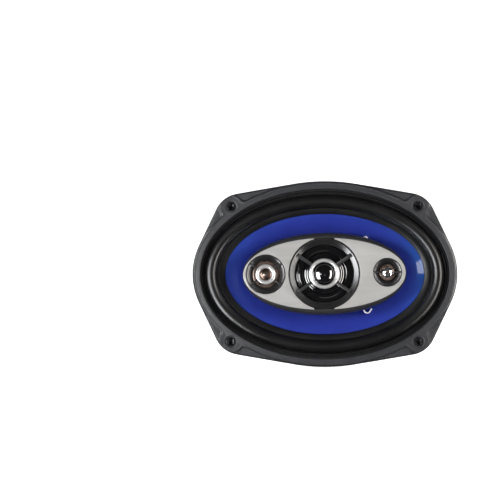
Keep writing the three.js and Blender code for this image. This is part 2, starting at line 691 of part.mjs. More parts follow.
// ---- Midrange ----
const MID_RING_OUTER = 13.4;
const MID_RING_INNER = 10;
const MID_COIL = 8;
const MID_TRAVEL = 1;
const midCupBack = -8.5;
bezelCup("mid_bezel", 0, 0, MID_RADIUS, MID_THROAT, midCupBack, BLACK_ABS);
guard("mid_guard", 0, 0, MID_RING_OUTER - 0.3, MID_RING_INNER, MID_THROAT + 1.6, 2.8, fourSpokes, BLACK_ABS);
add("mid_ring", collar(MID_RING_OUTER, MID_RING_INNER, 2.2), SILVER_PAINT);
const BULLET_RADIUS = MID_RING_INNER - SEAT;
const bulletBase = bevelBack - 0.8;
add(
  "mid_bullet",
  turned(
    [
      [0, bulletBase],
      [BULLET_RADIUS, bulletBase],
      ...Array.from({ length: 4 }, (_, i) => {
        const angle = (i / 4) * (Math.PI / 2);
        return [BULLET_RADIUS * Math.cos(angle), guardFront - 0.2 - 4 * Math.sin(angle)];
      }),
      [0, guardFront - 4.2],
    ],
    20,
  ),
  GLOSS_BLACK,
);

const midMotorFront = midCupBack + 2.2;
const midMotorBack = boltHeadFront - SEAT;
const midFrameOuter = MID_THROAT - 2;
// The midrange frame: a pressed dish from the bezel to the motor.
add(
  "mid_frame",
  turned([
    [midFrameOuter + 1.6, midCupBack + SEAT],
    [midFrameOuter + 1.6, midCupBack + SEAT + 0.8],
    [15.4, midMotorFront - SEAT],
    [11, midMotorFront - SEAT],
    [11, midMotorFront - SEAT - 0.8],
    [15.2, midMotorFront - SEAT - 0.8],
    [midFrameOuter, midCupBack + SEAT],
  ]),
  BLACK_STEEL,
);
const MID_MOTOR_RADIUS = 15.5;
add(
  "mid_motor",
  turned(
    [
      [0, midMotorFront],
      [MID_COIL - 0.9, midMotorFront],
      [MID_COIL - 0.9, midMotorBack - 2],
      [MID_COIL + 1.6, midMotorBack - 2],
      [MID_COIL + 1.6, midMotorFront],
      [MID_MOTOR_RADIUS, midMotorFront],
      [MID_MOTOR_RADIUS, midMotorBack],
      [0, midMotorBack],
    ],
    ROUND_STEPS,
  ),
  ZINC,
);
// Cone and coil move together; a narrow ridge near the rim is its surround.
const midConeBack = midMotorFront - SEAT - 0.8 - MID_TRAVEL - 0.5;
const midConeRim = MID_THROAT - 1.3;
const midFace = (behind) => [
  [MID_COIL, midConeBack - 0.7 + behind],
  [14, midConeBack - 1.3 + behind],
  [18, midConeBack - 2.0 + behind],
  [19.3, midConeBack - 2.9 + behind],
  [20.8, midConeBack - 2.9 + behind],
  [22, midConeBack - 1.9 + behind],
  [midConeRim, midConeBack - 1.9 + behind],
];
add("mid_cone", turned([...midFace(0), ...midFace(0.6).reverse()]), GLOSS_BLACK);
add("mid_dust_cap", disc(MID_COIL - 0.3, midConeBack - 0.9, midConeBack - 0.3, SMALL_STEPS), GLOSS_BLACK);
add(
  "mid_voice_coil",
  tube(MID_COIL + 0.4, MID_COIL - 0.2, midConeBack + 0.2, midMotorFront + 3, SMALL_STEPS),
  COPPER,
);

// ---- Tweeter, on the left ----
const TWEETER_THROAT = TWEETER_RADIUS - BEVEL_WIDTH;
const tweeterBack = -8.6;
const TWEETER_RING_OUTER = 9;
const TWEETER_RING_INNER = 5.4;
bezelCup("tweeter_bezel", TWEETER_X, TWEETER_Z, TWEETER_RADIUS, TWEETER_THROAT, tweeterBack, BLACK_ABS);
guard(
  "tweeter_guard", TWEETER_X, TWEETER_Z, TWEETER_RING_OUTER - 0.3, TWEETER_RING_INNER + 0.3,
  TWEETER_THROAT + 2.0, 1.4, fourSpokes, BLACK_ABS,
);
add("tweeter_ring", collar(TWEETER_RING_OUTER, TWEETER_RING_INNER, 1.8).translate(TWEETER_X, 0, TWEETER_Z), SILVER_PAINT);
const FILM = 0.5;
const domeFace = (behind) => [
  ...Array.from({ length: 4 }, (_, i) => {
    const angle = (i / 3) * (Math.PI / 2);
    return [4.4 * Math.sin(angle), tweeterBack - 2.6 - 2.6 * Math.cos(angle) + behind];
  }),
  [5.6, tweeterBack - 2.4 + behind],
  [10.8, tweeterBack - 3.3 + behind],
  [TWEETER_THROAT - 1.4, tweeterBack - 2.4 + behind],
];
add(
  "tweeter_dome",
  turned([...domeFace(0), ...domeFace(FILM).reverse()], 20).translate(TWEETER_X, 0, TWEETER_Z),
  BRONZE_FILM,
);
const TWEETER_MOTOR_BACK = podShoulderY - POD_WALL - SEAT + 0.6;
add(
  "tweeter_motor",
  disc(10, tweeterBack + SEAT, TWEETER_MOTOR_BACK, SMALL_STEPS).translate(TWEETER_X, 0, TWEETER_Z),
  ZINC,
);

// ---- Super tweeter, on the right ----
const SUPER_THROAT = SUPER_RADIUS - BEVEL_WIDTH;
bezelCup("super_tweeter_bezel", SUPER_X, SUPER_Z, SUPER_RADIUS, SUPER_THROAT, tweeterBack, BLACK_ABS);
guard("super_tweeter_guard", SUPER_X, SUPER_Z, 4.2, 2.0, SUPER_THROAT + 2.2, 1.3, [0, 180], BLACK_ABS);
add(
  "super_tweeter_bullet",
  turned(
    [
      [1.7, guardFront - SEAT],
      [4.6, guardFront - SEAT],
      [4.4, guardFront - SEAT - 0.9],
      [3.4, guardFront - SEAT - 1.8],
      [2.2, guardFront - SEAT - 2.2],
      [1.7, guardFront - SEAT - 1.9],
    ],
    SMALL_STEPS,
  ).translate(SUPER_X, 0, SUPER_Z),
  CHROME,
);
add(
  "super_tweeter_cone",
  turned(
    [
      [0, tweeterBack - 1.6],
      [2, tweeterBack - 1.7],
      [6.6, tweeterBack - 3.2],
      [SUPER_THROAT - 1.3, tweeterBack - 2.6],
      [SUPER_THROAT - 1.3, tweeterBack - 2.1],
      [6.6, tweeterBack - 2.7],
      [2, tweeterBack - 1.2],
      [0, tweeterBack - 1.1],
    ],
    SMALL_STEPS,
  ).translate(SUPER_X, 0, SUPER_Z),
  BRONZE_FILM,
);
add(
  "super_tweeter_element",
  disc(6.8, tweeterBack + SEAT, tweeterBack + 2.5, SMALL_STEPS).translate(SUPER_X, 0, SUPER_Z),
  COPPER,
);

// ---- Terminal board on the lug, with two blade tabs, two rivets and two crossover capacitors ----
const boardInner = lugX + SEAT;
const boardOuter = boardInner + BOARD_THICK;
add(
  "terminal_board",
  cut(box(boardInner, boardOuter, boardFront, boardBack, -TERMINAL_Z, TERMINAL_Z), ...boardHoles.map(boardRivetCutter)),
  PAPER_BOARD,
);
boardHoles.forEach(({ z, y }, i) => {
  const inner = lugX - SHELL - 1.2;
  const outer = boardOuter + 0.8;
  const shank = new THREE.CylinderGeometry(1.5, 1.5, outer - inner, 12).rotateZ(Math.PI / 2).translate((inner + outer) / 2, y, z);
  const head = new THREE.CylinderGeometry(2.6, 2.6, 0.8, 12).rotateZ(Math.PI / 2);
  const inside = head.clone().translate(lugX - SHELL - SEAT - 0.4, y, z);
  add(`terminal_rivet_${i + 1}`, joined(shank, inside, head.translate(boardOuter + SEAT + 0.4, y, z)), TIN);
});
const tabInner = boardOuter + SEAT;
const bladeTab = (z, width) => {
  const foot = box(tabInner, tabInner + TAB_THICK, boardBack - 8, boardBack + 10, z - width / 2, z + width / 2);
  const eye = new THREE.CylinderGeometry(0.8, 0.8, 4, 10).rotateZ(Math.PI / 2).translate(tabInner, boardBack + 7, z);
  return cut(foot, eye);
};
const tabZ = TERMINAL_Z - 5.5;
add("positive_tab", bladeTab(tabZ, 6.3), TIN);
add("negative_tab", bladeTab(-tabZ, 4.8), TIN);

// The two capacitors lie side by side on the board, along Y, between the tabs.
const capacitorX = boardOuter + SEAT + CAPACITOR_RADIUS;
["capacitor_mid", "capacitor_tweeter"].forEach((name, i) => {
  const z = (i ? 1 : -1) * (CAPACITOR_RADIUS + SEAT);
  const can = turned(
    [
      [0, 0],
      [CAPACITOR_RADIUS - 0.5, 0],
      [CAPACITOR_RADIUS, 0.5],
      [CAPACITOR_RADIUS, CAPACITOR_LENGTH - 2.6],
      [CAPACITOR_RADIUS - 0.5, CAPACITOR_LENGTH - 2],
      [CAPACITOR_RADIUS, CAPACITOR_LENGTH - 1.4],
      [CAPACITOR_RADIUS, CAPACITOR_LENGTH],
      [0, CAPACITOR_LENGTH],
    ],
    12,
  );
  add(name, can.translate(capacitorX, boardFront + 9, z), SLEEVE_BLUE);
});

// ---- Leads ----
// Each tinsel lead runs from the board, through a window, to the back of the cone, with slack for the travel.
const TINSEL_X = 37.5;
const TINSEL_Z = 31.6;
const coneAtTinsel = coneDepthAt(0.56);
const tinselRoute = (side) => [
  [lugX - SHELL - 2, SPIDER_SHELF_Y - 5, side * 19],
  [lugX - 8, SPIDER_SHELF_Y - 11, side * 22],
  [lugX - 17, SPIDER_SHELF_Y - 9, side * 26],
  [TINSEL_X + 3, SPIDER_SHELF_Y - 12, side * TINSEL_Z],
  [TINSEL_X, coneAtTinsel + 2.6, side * TINSEL_Z],
];
add("tinsel_lead_upper", wire(tinselRoute(1), TINSEL_RADIUS, 12), BRAID);
add("tinsel_lead_lower", wire(tinselRoute(-1), TINSEL_RADIUS, 12), BRAID);

// The end of each tinsel lead, looped over the front of the cone beside the pod.
const loopY = coneAtTinsel - 2.6;
const upperLoop = [[34.2, loopY + 0.4, 31.4], [35.6, loopY - 0.6, 33.2], [37.4, loopY - 0.6, 32.8], [39, loopY, 30.4]];
const lowerLoop = [[34.8, loopY + 0.4, -32], [36.6, loopY - 0.6, -34.2], [39.6, loopY - 0.6, -33.8], [41.8, loopY - 0.4, -30.6]];
add("tinsel_loop_upper", wire(upperLoop, TINSEL_RADIUS, 8), BRAID);
add("tinsel_loop_lower", wire(lowerLoop, TINSEL_RADIUS, 8), BRAID);

// The pod's pair of wires: out of the hollow bolt, over the nut, down the back plate and round the magnet to the board.
const podLead = (side) => {
  const z = side * 1.25;
  const rear = backPlateBack + WIRE_RADIUS + 0.6;
  return [
    [side * 0.9, boltBack - 8, z],
    [side * 0.9, boltBack - 3, z],
    [side * 0.9, boltBack + 1.4, z],
    [4, boltBack + 3.2, z],
    [9.5, boltBack + 1.6, z],
    [WASHER_RADIUS + 3.4, nutFront + 1, z],
    [WASHER_RADIUS + 8, rear, z],
    [PLATE_RADIUS - 3, rear, z],
    [PLATE_RADIUS + 3.5, rear - 0.6, z],
    [MAGNET_RADIUS + 2.4, backPlateFront - 3, z],
    [MAGNET_RADIUS + 2.6, magnetFront + 4, z],
    [lugX - 4, boardBack - 2, z],
    [lugX - SHELL - 2.6, boardBack - 6, z],
  ];
};
add("pod_lead_red", wire(podLead(1), WIRE_RADIUS, 30), RED_PVC);
add("pod_lead_black", wire(podLead(-1), WIRE_RADIUS, 30), BLACK_PVC);

export default part;
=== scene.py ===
import math

import bpy
import numpy as np
from mathutils import Matrix, Vector


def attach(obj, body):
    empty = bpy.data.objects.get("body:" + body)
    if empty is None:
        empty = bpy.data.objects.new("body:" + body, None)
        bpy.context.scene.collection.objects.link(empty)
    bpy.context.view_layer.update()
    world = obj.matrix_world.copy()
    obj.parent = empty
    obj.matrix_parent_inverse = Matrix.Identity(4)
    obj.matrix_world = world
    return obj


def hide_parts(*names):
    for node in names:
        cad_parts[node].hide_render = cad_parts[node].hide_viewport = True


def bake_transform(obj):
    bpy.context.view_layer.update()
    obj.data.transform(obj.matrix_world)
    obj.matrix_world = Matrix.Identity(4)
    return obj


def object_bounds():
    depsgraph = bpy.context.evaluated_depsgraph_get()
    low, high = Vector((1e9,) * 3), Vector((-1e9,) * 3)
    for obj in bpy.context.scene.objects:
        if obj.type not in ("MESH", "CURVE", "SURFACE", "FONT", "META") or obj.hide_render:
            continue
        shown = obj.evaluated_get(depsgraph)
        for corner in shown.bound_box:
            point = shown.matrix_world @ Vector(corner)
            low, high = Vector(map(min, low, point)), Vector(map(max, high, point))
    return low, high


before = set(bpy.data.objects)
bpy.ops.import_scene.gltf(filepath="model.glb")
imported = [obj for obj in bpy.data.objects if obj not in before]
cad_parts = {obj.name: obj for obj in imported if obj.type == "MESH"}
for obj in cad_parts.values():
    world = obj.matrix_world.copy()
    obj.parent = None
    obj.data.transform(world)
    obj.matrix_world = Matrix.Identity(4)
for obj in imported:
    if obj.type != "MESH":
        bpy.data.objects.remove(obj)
cad_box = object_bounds()
bpy.ops.object.select_all(action="DESELECT")

# ---- Sizes, in millimetres ----
flange_half_length, flange_half_height = 117.5, 82.5
ear_x, ear_z, ear_radius = 74.5, 47.8, 24  # the flange's four rounded ears
screw_x, screw_z, screw_hole_radius = 83.0, 60.0, 3.3
opening_half_length, opening_half_height = 110.5, 75.5  # the trim ring's opening
roll_half_length, roll_half_height = 106.4, 70.6  # the outside of the surround's roll
roll_width, roll_height = 11.2, 6.4
wing_half_length, wing_half_height = 71.4, 31.5
tweeter_x, tweeter_z = -51.6, -0.6
super_x, super_z = 55.6, 1.1

# ---- Studio ----
# A white paper sweep under and behind the speaker, tall softboxes far out on its left and right, a small bright
# window nearer the front, and two more softboxes that light its back. The speaker stands on the rim of its
# flange.
paper_height = cad_box[0].z
bpy.ops.mesh.primitive_plane_add(size=1, location=(0, 0, paper_height))
paper = bpy.context.object
paper.name = "paper_sweep"
paper.scale = (9, 5, 1)
bpy.ops.object.transform_apply(location=False, rotation=False, scale=True)
bpy.ops.object.mode_set(mode="EDIT")
bpy.ops.mesh.select_mode(type="EDGE")
bpy.ops.mesh.select_all(action="DESELECT")
bpy.ops.object.mode_set(mode="OBJECT")
for edge in paper.data.edges:
    edge.select = all(paper.data.vertices[v].co.y > 2 for v in edge.vertices)
bpy.ops.object.mode_set(mode="EDIT")
bpy.ops.mesh.extrude_region_move(TRANSFORM_OT_translate={"value": (0, 0, 4)})
bpy.ops.object.mode_set(mode="OBJECT")
curl = paper.modifiers.new("curl", "BEVEL")
curl.width, curl.segments = 1.2, 24
bpy.ops.object.modifier_apply(modifier=curl.name)
bpy.ops.object.shade_smooth()
bpy.ops.object.transform_apply(location=True, rotation=False, scale=False)

white_paper = bpy.data.materials.new("white_paper")
white_paper.use_nodes = True
paper_shader = white_paper.node_tree.nodes["Principled BSDF"]
paper_shader.inputs["Base Color"].default_value = (0.86, 0.86, 0.86, 1)
paper_shader.inputs["Roughness"].default_value = 0.9
paper_shader.inputs["Emission Color"].default_value = (1, 1, 1, 1)
paper_shader.inputs["Emission Strength"].default_value = 0.75
paper.data.materials.append(white_paper)
paper.visible_glossy = False

studio = bpy.data.worlds.new("studio")
bpy.context.scene.world = studio
studio.use_nodes = True
studio.node_tree.nodes["Background"].inputs["Color"].default_value = (1, 1, 1, 1)
studio.node_tree.nodes["Background"].inputs["Strength"].default_value = 0.04
bpy.context.scene.view_settings.view_transform = "Standard"


def softbox(name, place, width, height, watts, colour=(1, 1, 1)):
    """An area light aimed at the origin. Metres and watts."""
    light = bpy.data.lights.new(name, "AREA")
    light.shape, light.size, light.size_y = "RECTANGLE", width, height
    light.energy, light.color = watts, colour
    stand = bpy.data.objects.new(name, light)
    bpy.context.collection.objects.link(stand)
    stand.location = place
    stand.rotation_euler = (-Vector(place)).to_track_quat("-Z", "Y").to_euler()


softbox("left_softbox", (-1.08, -0.84, -0.36), 0.9, 1.3, 86, (0.98, 0.99, 1))
softbox("right_softbox", (1.1, -0.82, -0.15), 0.42, 1.5, 40, (1, 0.95, 0.90))
softbox("window", (-0.74, -1.48, -0.1), 0.38, 0.25, 2.8)
softbox("front_card", (0.1, -2.2, -0.4), 0.4, 0.3, 0.4)
softbox("rear_softbox", (0.9, 1.3, 0.15), 1.0, 1.0, 18)
softbox("rear_kicker", (-1.2, 0.9, 0.5), 0.5, 0.9, 9)

camera_data = bpy.data.cameras.new("camera")
camera_data.lens, camera_data.sensor_width = 135, 36
camera_data.clip_start, camera_data.clip_end = 0.05, 50
camera = bpy.data.objects.new("camera", camera_data)
bpy.context.collection.objects.link(camera)
camera.location = (0.02, -1.667, -0.035)
camera.rotation_euler = (math.radians(90 + 1.2 + 0.736), 0, math.radians(0.687 + 2.275))
bpy.context.scene.camera = camera

# ---- Basket ----
# One pressing of black powder-coated steel: the flange with its four ears, a shelf for the surround, a bowl
# with eight windows, a shelf for the spider and the floor that is riveted to the magnet. The flange's four
# holes take the screws.


def surface(name, colour, roughness, metallic=0.0, **sockets):
    made = bpy.data.materials.new(name)
    made.use_nodes = True
    shader = made.node_tree.nodes["Principled BSDF"]
    shader.inputs["Base Color"].default_value = (*colour, 1)
    shader.inputs["Roughness"].default_value = roughness
    shader.inputs["Metallic"].default_value = metallic
    for socket, value in sockets.items():
        shader.inputs[socket.replace("_", " ")].default_value = value
    return made


def grained(made, scale, bump=0.0, tint=0.0, rough=0.0, stretch=(1, 1, 1), detail=5.0):
    """Adds one scale of grain: bump height in metres, and how far the colour and the roughness wander."""
    nodes, links = made.node_tree.nodes, made.node_tree.links
    shader = nodes["Principled BSDF"]
    place = nodes.new("ShaderNodeTexCoord")
    turn = nodes.new("ShaderNodeMapping")
    turn.inputs["Scale"].default_value = stretch
    noise = nodes.new("ShaderNodeTexNoise")
    noise.inputs["Scale"].default_value = scale
    noise.inputs["Detail"].default_value = detail
    links.new(place.outputs["Object"], turn.inputs["Vector"])
    links.new(turn.outputs["Vector"], noise.inputs["Vector"])
    if tint:
        shade = nodes.new("ShaderNodeMapRange")
        shade.inputs["From Min"].default_value, shade.inputs["From Max"].default_value = 0.3, 0.7
        shade.inputs["To Min"].default_value, shade.inputs["To Max"].default_value = 1 - tint, 1 + tint
        mix = nodes.new("ShaderNodeVectorMath")
        mix.operation = "MULTIPLY"
        fed = shader.inputs["Base Color"]
        if fed.is_linked:
            links.new(fed.links[0].from_socket, mix.inputs[0])
        else:
            mix.inputs[0].default_value = fed.default_value[:3]
        links.new(noise.outputs["Fac"], shade.inputs["Value"])
        links.new(shade.outputs["Result"], mix.inputs[1])
        links.new(mix.outputs["Vector"], fed)
    if rough:
        worn = nodes.new("ShaderNodeMapRange")
        middle = shader.inputs["Roughness"].default_value
        worn.inputs["From Min"].default_value, worn.inputs["From Max"].default_value = 0.3, 0.7
        worn.inputs["To Min"].default_value = max(0.02, middle - rough)
        worn.inputs["To Max"].default_value = min(1, middle + rough)
        links.new(noise.outputs["Fac"], worn.inputs["Value"])
        links.new(worn.outputs["Result"], shader.inputs["Roughness"])
    if bump:
        raised = nodes.new("ShaderNodeBump")
        raised.inputs["Distance"].default_value = bump
        links.new(noise.outputs["Fac"], raised.inputs["Height"])
        if shader.inputs["Normal"].is_linked:
            links.new(shader.inputs["Normal"].links[0].from_socket, raised.inputs["Normal"])
        links.new(raised.outputs["Normal"], shader.inputs["Normal"])
    return made


def drawn_ring(name, stations, steps=192, power=2.0):
    """A closed section drawn round the Y axis: a loop is extruded from station to station and back to the first.
    A station is half length, half height and depth, in millimetres. A power over 2 blunts the oval's ends."""
    bpy.ops.object.select_all(action="DESELECT")
    a, b, y = stations[0]
    bpy.ops.mesh.primitive_circle_add(vertices=steps, radius=1, rotation=(math.pi / 2, 0, 0))
    piece = bpy.context.object
    piece.name = name
    if power != 2:
        for vertex in piece.data.vertices:
            x, z = vertex.co.x, vertex.co.y
            vertex.co.x = math.copysign(abs(x) ** (2 / power), x)
            vertex.co.y = math.copysign(abs(z) ** (2 / power), z)
    piece.scale = (a / 1000, b / 1000, 1)
    piece.location.y = y / 1000
    bpy.ops.object.transform_apply(location=True, rotation=True, scale=True)
    bpy.ops.object.mode_set(mode="EDIT")
    bpy.ops.mesh.select_mode(type="VERT")
    bpy.ops.mesh.select_all(action="SELECT")
    for a2, b2, y2 in [*stations[1:], stations[0]]:
        bpy.ops.mesh.extrude_region_move(TRANSFORM_OT_translate={"value": (0, (y2 - y) / 1000, 0)})
        bpy.ops.transform.resize(value=(a2 / a, 1, b2 / b), center_override=(0, y2 / 1000, 0))
        a, b, y = a2, b2, y2
    bpy.ops.mesh.select_all(action="SELECT")
    bpy.ops.mesh.remove_doubles(threshold=2.5e-5)
    bpy.ops.mesh.normals_make_consistent(inside=False)
    bpy.ops.object.mode_set(mode="OBJECT")
    return piece


def skinned(name, loops):
    """A closed skin through loops of equal count, the last joined to the first. Points are in millimetres."""
    count = len(loops[0])
    points = np.concatenate(loops) / 1000
    faces = []
    for i in range(len(loops)):
        here, there = i * count, ((i + 1) % len(loops)) * count
        for j in range(count):
            k = (j + 1) % count
            faces.append((here + j, here + k, there + k, there + j))
    mesh = bpy.data.meshes.new(name)
    mesh.from_pydata(points.tolist(), [], faces)
    piece = bpy.data.objects.new(name, mesh)
    bpy.context.collection.objects.link(piece)
    bpy.ops.object.select_all(action="DESELECT")
    piece.select_set(True)
    bpy.context.view_layer.objects.active = piece
    bpy.ops.object.mode_set(mode="EDIT")
    bpy.ops.mesh.select_all(action="SELECT")
    bpy.ops.mesh.normals_make_consistent(inside=False)
    bpy.ops.object.mode_set(mode="OBJECT")
    return piece


def softened(piece, width, segments=2, angle=35):
    """Rounds every edge sharper than the angle. Width in millimetres."""
    edge = piece.modifiers.new("edge", "BEVEL")
    edge.width, edge.segments = width / 1000, segments
    edge.limit_method, edge.angle_limit = "ANGLE", math.radians(angle)
    edge.use_clamp_overlap = True
    select_only(piece)
    bpy.ops.object.modifier_apply(modifier=edge.name)
    return piece


def select_only(piece):
    bpy.ops.object.select_all(action="DESELECT")
    piece.select_set(True)
    bpy.context.view_layer.objects.active = piece


def shaped(piece, tool, operation="DIFFERENCE"):
    """Cuts a piece with a tool, or joins them, and throws the tool away."""
    work = piece.modifiers.new("work", "BOOLEAN")
    work.operation, work.solver, work.object = operation, "EXACT", tool
    select_only(piece)
    bpy.ops.object.modifier_apply(modifier=work.name)
    bpy.data.objects.remove(tool)
    return piece


def prism(name, outline, front, back):
    """A flat shape in X and Z, in millimetres, carried from front to back along Y."""
    mesh = bpy.data.meshes.new(name)
    mesh.from_pydata([(x / 1000, front / 1000, z / 1000) for x, z in outline], [], [list(range(len(outline)))])
    piece = bpy.data.objects.new(name, mesh)
    bpy.context.collection.objects.link(piece)
    select_only(piece)
    bpy.ops.object.mode_set(mode="EDIT")
    bpy.ops.mesh.select_all(action="SELECT")
    bpy.ops.mesh.extrude_region_move(TRANSFORM_OT_translate={"value": (0, (back - front) / 1000, 0)})
    bpy.ops.mesh.select_all(action="SELECT")
    bpy.ops.mesh.normals_make_consistent(inside=False)
    bpy.ops.object.mode_set(mode="OBJECT")
    return piece


def joined(first, *others):
    bpy.ops.object.select_all(action="DESELECT")
    for other in others:
        other.select_set(True)
    first.select_set(True)
    bpy.context.view_layer.objects.active = first
    bpy.ops.object.join()
    return first


def fitted(piece, finish, body, slot, *nodes, smooth=35):
    """Gives a finished piece its material and its place in the assembly."""
    piece.data.materials.clear()
    piece.data.materials.append(finish)
    if smooth:
        select_only(piece)
        bpy.ops.object.shade_smooth_by_angle(angle=math.radians(smooth))
    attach(piece, body)
    if nodes:
        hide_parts(*nodes)
    return piece


def repainted(node, finish):
    """Gives a CAD piece that is shown as it is its material."""
    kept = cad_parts[node]
    kept.data.materials.clear()
    kept.data.materials.append(finish)


def flange_outline(inset, count=720):
    """The flange's outline less an inset: the smallest convex shape round the oval and the four ears."""
    turn = np.linspace(0, 2 * np.pi, 721)[:-1]
    cloud = [((flange_half_length - inset) * np.cos(turn), (flange_half_height - inset) * np.sin(turn))]
    for x in (-ear_x, ear_x):
        for z in (-ear_z, ear_z):
            cloud.append((x + (ear_radius - inset) * np.cos(turn), z + (ear_radius - inset) * np.sin(turn)))
    support = np.max([x[:, None] * np.cos(turn) + z[:, None] * np.sin(turn) for x, z in cloud], axis=(0, 1))
    lean = np.gradient(np.concatenate([support[-3:], support, support[:3]]), turn[1])[3:-3]
    x = support * np.cos(turn) - lean * np.sin(turn)
    z = support * np.sin(turn) + lean * np.cos(turn)
    step = np.concatenate([[0], np.cumsum(np.hypot(np.diff(x), np.diff(z)))])
    fine = np.linspace(0, step[-1], 8000)
    x, z = np.interp(fine, step, x), np.interp(fine, step, z)
    angle = np.unwrap(np.arctan2(z, x))
    wanted = np.linspace(0, 2 * np.pi, count + 1)[:-1] + 1e-6
    order = np.argsort(angle % (2 * np.pi))
    around = (angle % (2 * np.pi))[order]
    return np.interp(
        wanted, around, x[order], period=2 * np.pi,
    ), np.interp(wanted, around, z[order], period=2 * np.pi)


def oval_loop(a, b, y, count=720):
    """Points on an oval, one on each ray that flange_outline uses."""
    turn = np.linspace(0, 2 * np.pi, count + 1)[:-1] + 1e-6
    reach = 1 / np.hypot(np.cos(turn) / a, np.sin(turn) / b)
    return np.stack([reach * np.cos(turn), np.full(count, float(y)), reach * np.sin(turn)], axis=1)


def outline_loop(inset, y, count=720):
    x, z = flange_outline(inset, count)
    return np.stack([x, np.full(count, float(y)), z], axis=1)


bowl = drawn_ring(
    "steel_basket",
    [
        (112.9, 77.9, -1.2), (108.8, 73.8, -1.2), (108.8, 73.8, 2.8), (104.8, 69.8, 2.8), (102.8, 67.8, 7.8),
        (61, 59, 31.5), (56, 54, 34), (47, 47, 34), (44, 44, 44.5), (42.5, 42.5, 46), (23, 23, 46),
        (23, 23, 47.2), (43, 43, 47.2), (45.2, 45.2, 45), (48.2, 48.2, 35.2), (56.4, 54.4, 35.2),
        (62.2, 60.2, 32.2), (104, 69, 8.3), (106, 71, 4), (110, 75, 4), (110, 75, 0), (112.9, 77.9, 0),
    ],
)
rib_angles = [0, 37, 90, 143, 180, 217, 270, 323]
rib_width = 13
windows = []
for start, stop in zip(rib_angles, [*rib_angles[1:], 360]):
    sides = []
    for angle, sign in ((start, 1), (stop, -1)):
        along = Vector((math.cos(math.radians(angle)), math.sin(math.radians(angle))))
        across = Vector((-along.y, along.x)) * sign * rib_width / 2
        sides += [along * 47 + across, along * 117.5 + across]
    middle = math.radians((start + stop) / 2)
    far = Vector((math.cos(middle), math.sin(middle))) * 152
    window = prism("window", [sides[0], sides[1], far, sides[3], sides[2]], 9.5, 31)
    windows.append(softened(window, 3, 5, 20))
shaped(bowl, joined(*windows))
flange = skinned(
    "flange",
    [
        outline_loop(0.35, -1.2, 240), oval_loop(111, 76, -1.2, 240), oval_loop(111, 76, 0, 240),
        outline_loop(0.35, 0, 240), outline_loop(0, -0.3, 240), outline_loop(0, -0.9, 240),
    ],
)
lug = prism("lug", [(52, -12), (62, -12), (62, 12), (52, 12)], 34.1, 35.1)
upright = prism("lug_upright", [(60.8, -12), (62, -12), (62, 12), (60.8, 12)], 34.1, 46)
for x in (-screw_x, screw_x):
    for z in (-screw_z, screw_z):
        bpy.ops.mesh.primitive_cylinder_add(
            vertices=32, radius=screw_hole_radius / 1000, depth=0.01, rotation=(math.pi / 2, 0, 0),
            location=(x / 1000, 0, z / 1000),
        )
        shaped(flange, bpy.context.object)
powder_coat = grained(
    surface("black_powder_coat", (0.005, 0.005, 0.006), 0.5, Specular_IOR_Level=0.35), 1400, bump=0.00004,
    rough=0.08,
)
fitted(
    joined(bowl, flange, softened(lug, 0.3), softened(upright, 0.3)), powder_coat, "chassis", "basket_paint",
    "basket",
)

# ---- Trim ring ----
# A dark grey moulding with a fine grain that covers the steel flange. Its crown follows the oval opening and
# swells out round each screw, where it is dished for the screw head, and flats beside each ear lie a step
# lower.
boss_radius = 10.4
flat_y, crown_y, trim_back = -3.5, -5.3, -1.5
crown_half_length, crown_half_height = flange_half_length - 1, flange_half_height - 1


def crown_distance(x, z):
    """How far a point lies outside the crown, in millimetres; negative inside it."""
    k = np.hypot(x / crown_half_length, z / crown_half_height)
    oval = (k - 1) * k / np.hypot(x / crown_half_length**2, z / crown_half_height**2)
    boss = np.hypot(np.abs(x) - screw_x, np.abs(z) - screw_z) - boss_radius
    blend = np.clip(0.5 + 0.5 * (boss - oval) / 5, 0, 1)
    return boss * (1 - blend) + oval * blend - 5 * blend * (1 - blend)


def trim_height(x, z):
    away = crown_distance(x, z)
    step = np.clip((away + 0.6) / 1.2, 0, 1)
    step = step * step * (3 - 2 * step)
    bead = 0.34 * np.exp(-((away + 1.0) / 0.5) ** 2)
    return crown_y + (flat_y - crown_y) * step - bead * (np.hypot(x / 117, z / 82) > 0.9)


rays = 960
opening = oval_loop(opening_half_length, opening_half_height, 0, rays)
edge_x, edge_z = flange_outline(0.9, rays)
trim_loops = [opening + [0, trim_back, 0], opening + [0, crown_y + 0.5, 0]]
for share in np.concatenate([
    [0.0, 0.01, 0.022, 0.038, 0.055], np.linspace(0.08, 0.95, 44), [0.97, 0.985, 1.0],
]):
    x = opening[:, 0] * (1 - share) + edge_x * share
    z = opening[:, 2] * (1 - share) + edge_z * share
    inner = np.hypot(x - opening[:, 0], z - opening[:, 2])
    outer = np.hypot(x - edge_x, z - edge_z)
    y = trim_height(x, z) + 0.9 * np.clip(inner / 6.6, 0, 1) ** 1.4
    y = y + 0.5 * np.clip(1 - inner / 0.5, 0, 1) ** 2 + 0.7 * np.clip(1 - outer / 0.7, 0, 1) ** 2
    trim_loops.append(np.stack([x, y, z], axis=1))
trim_loops.append(np.stack([edge_x, np.full(rays, trim_back), edge_z], axis=1))
trim = skinned("grained_trim_ring", trim_loops)
for sx in (-1, 1):
    for sz in (-1, 1):
        dish = drawn_ring(
            "dish",
            [
                (0.01, 0.01, -7), (6.3, 6.3, -7), (6.3, 6.3, -5.35), (5.9, 5.9, -5.2), (5.7, 5.7, -4.9),
                (5.55, 5.55, -3.9), (5.3, 5.3, -3.7), (3.7, 3.7, -3.7), (3.3, 3.3, -3.3), (3.3, 3.3, 1),
                (0.01, 0.01, 1),
            ],
            64,
        )
        dish.location = (sx * screw_x / 1000, 0, sz * screw_z / 1000)
        shaped(trim, dish)
grey_moulding = grained(
    surface("grained_grey_moulding", (0.021, 0.022, 0.0255), 0.42), 2600, bump=0.00012, tint=0.1, rough=0.08,
    detail=2,
)
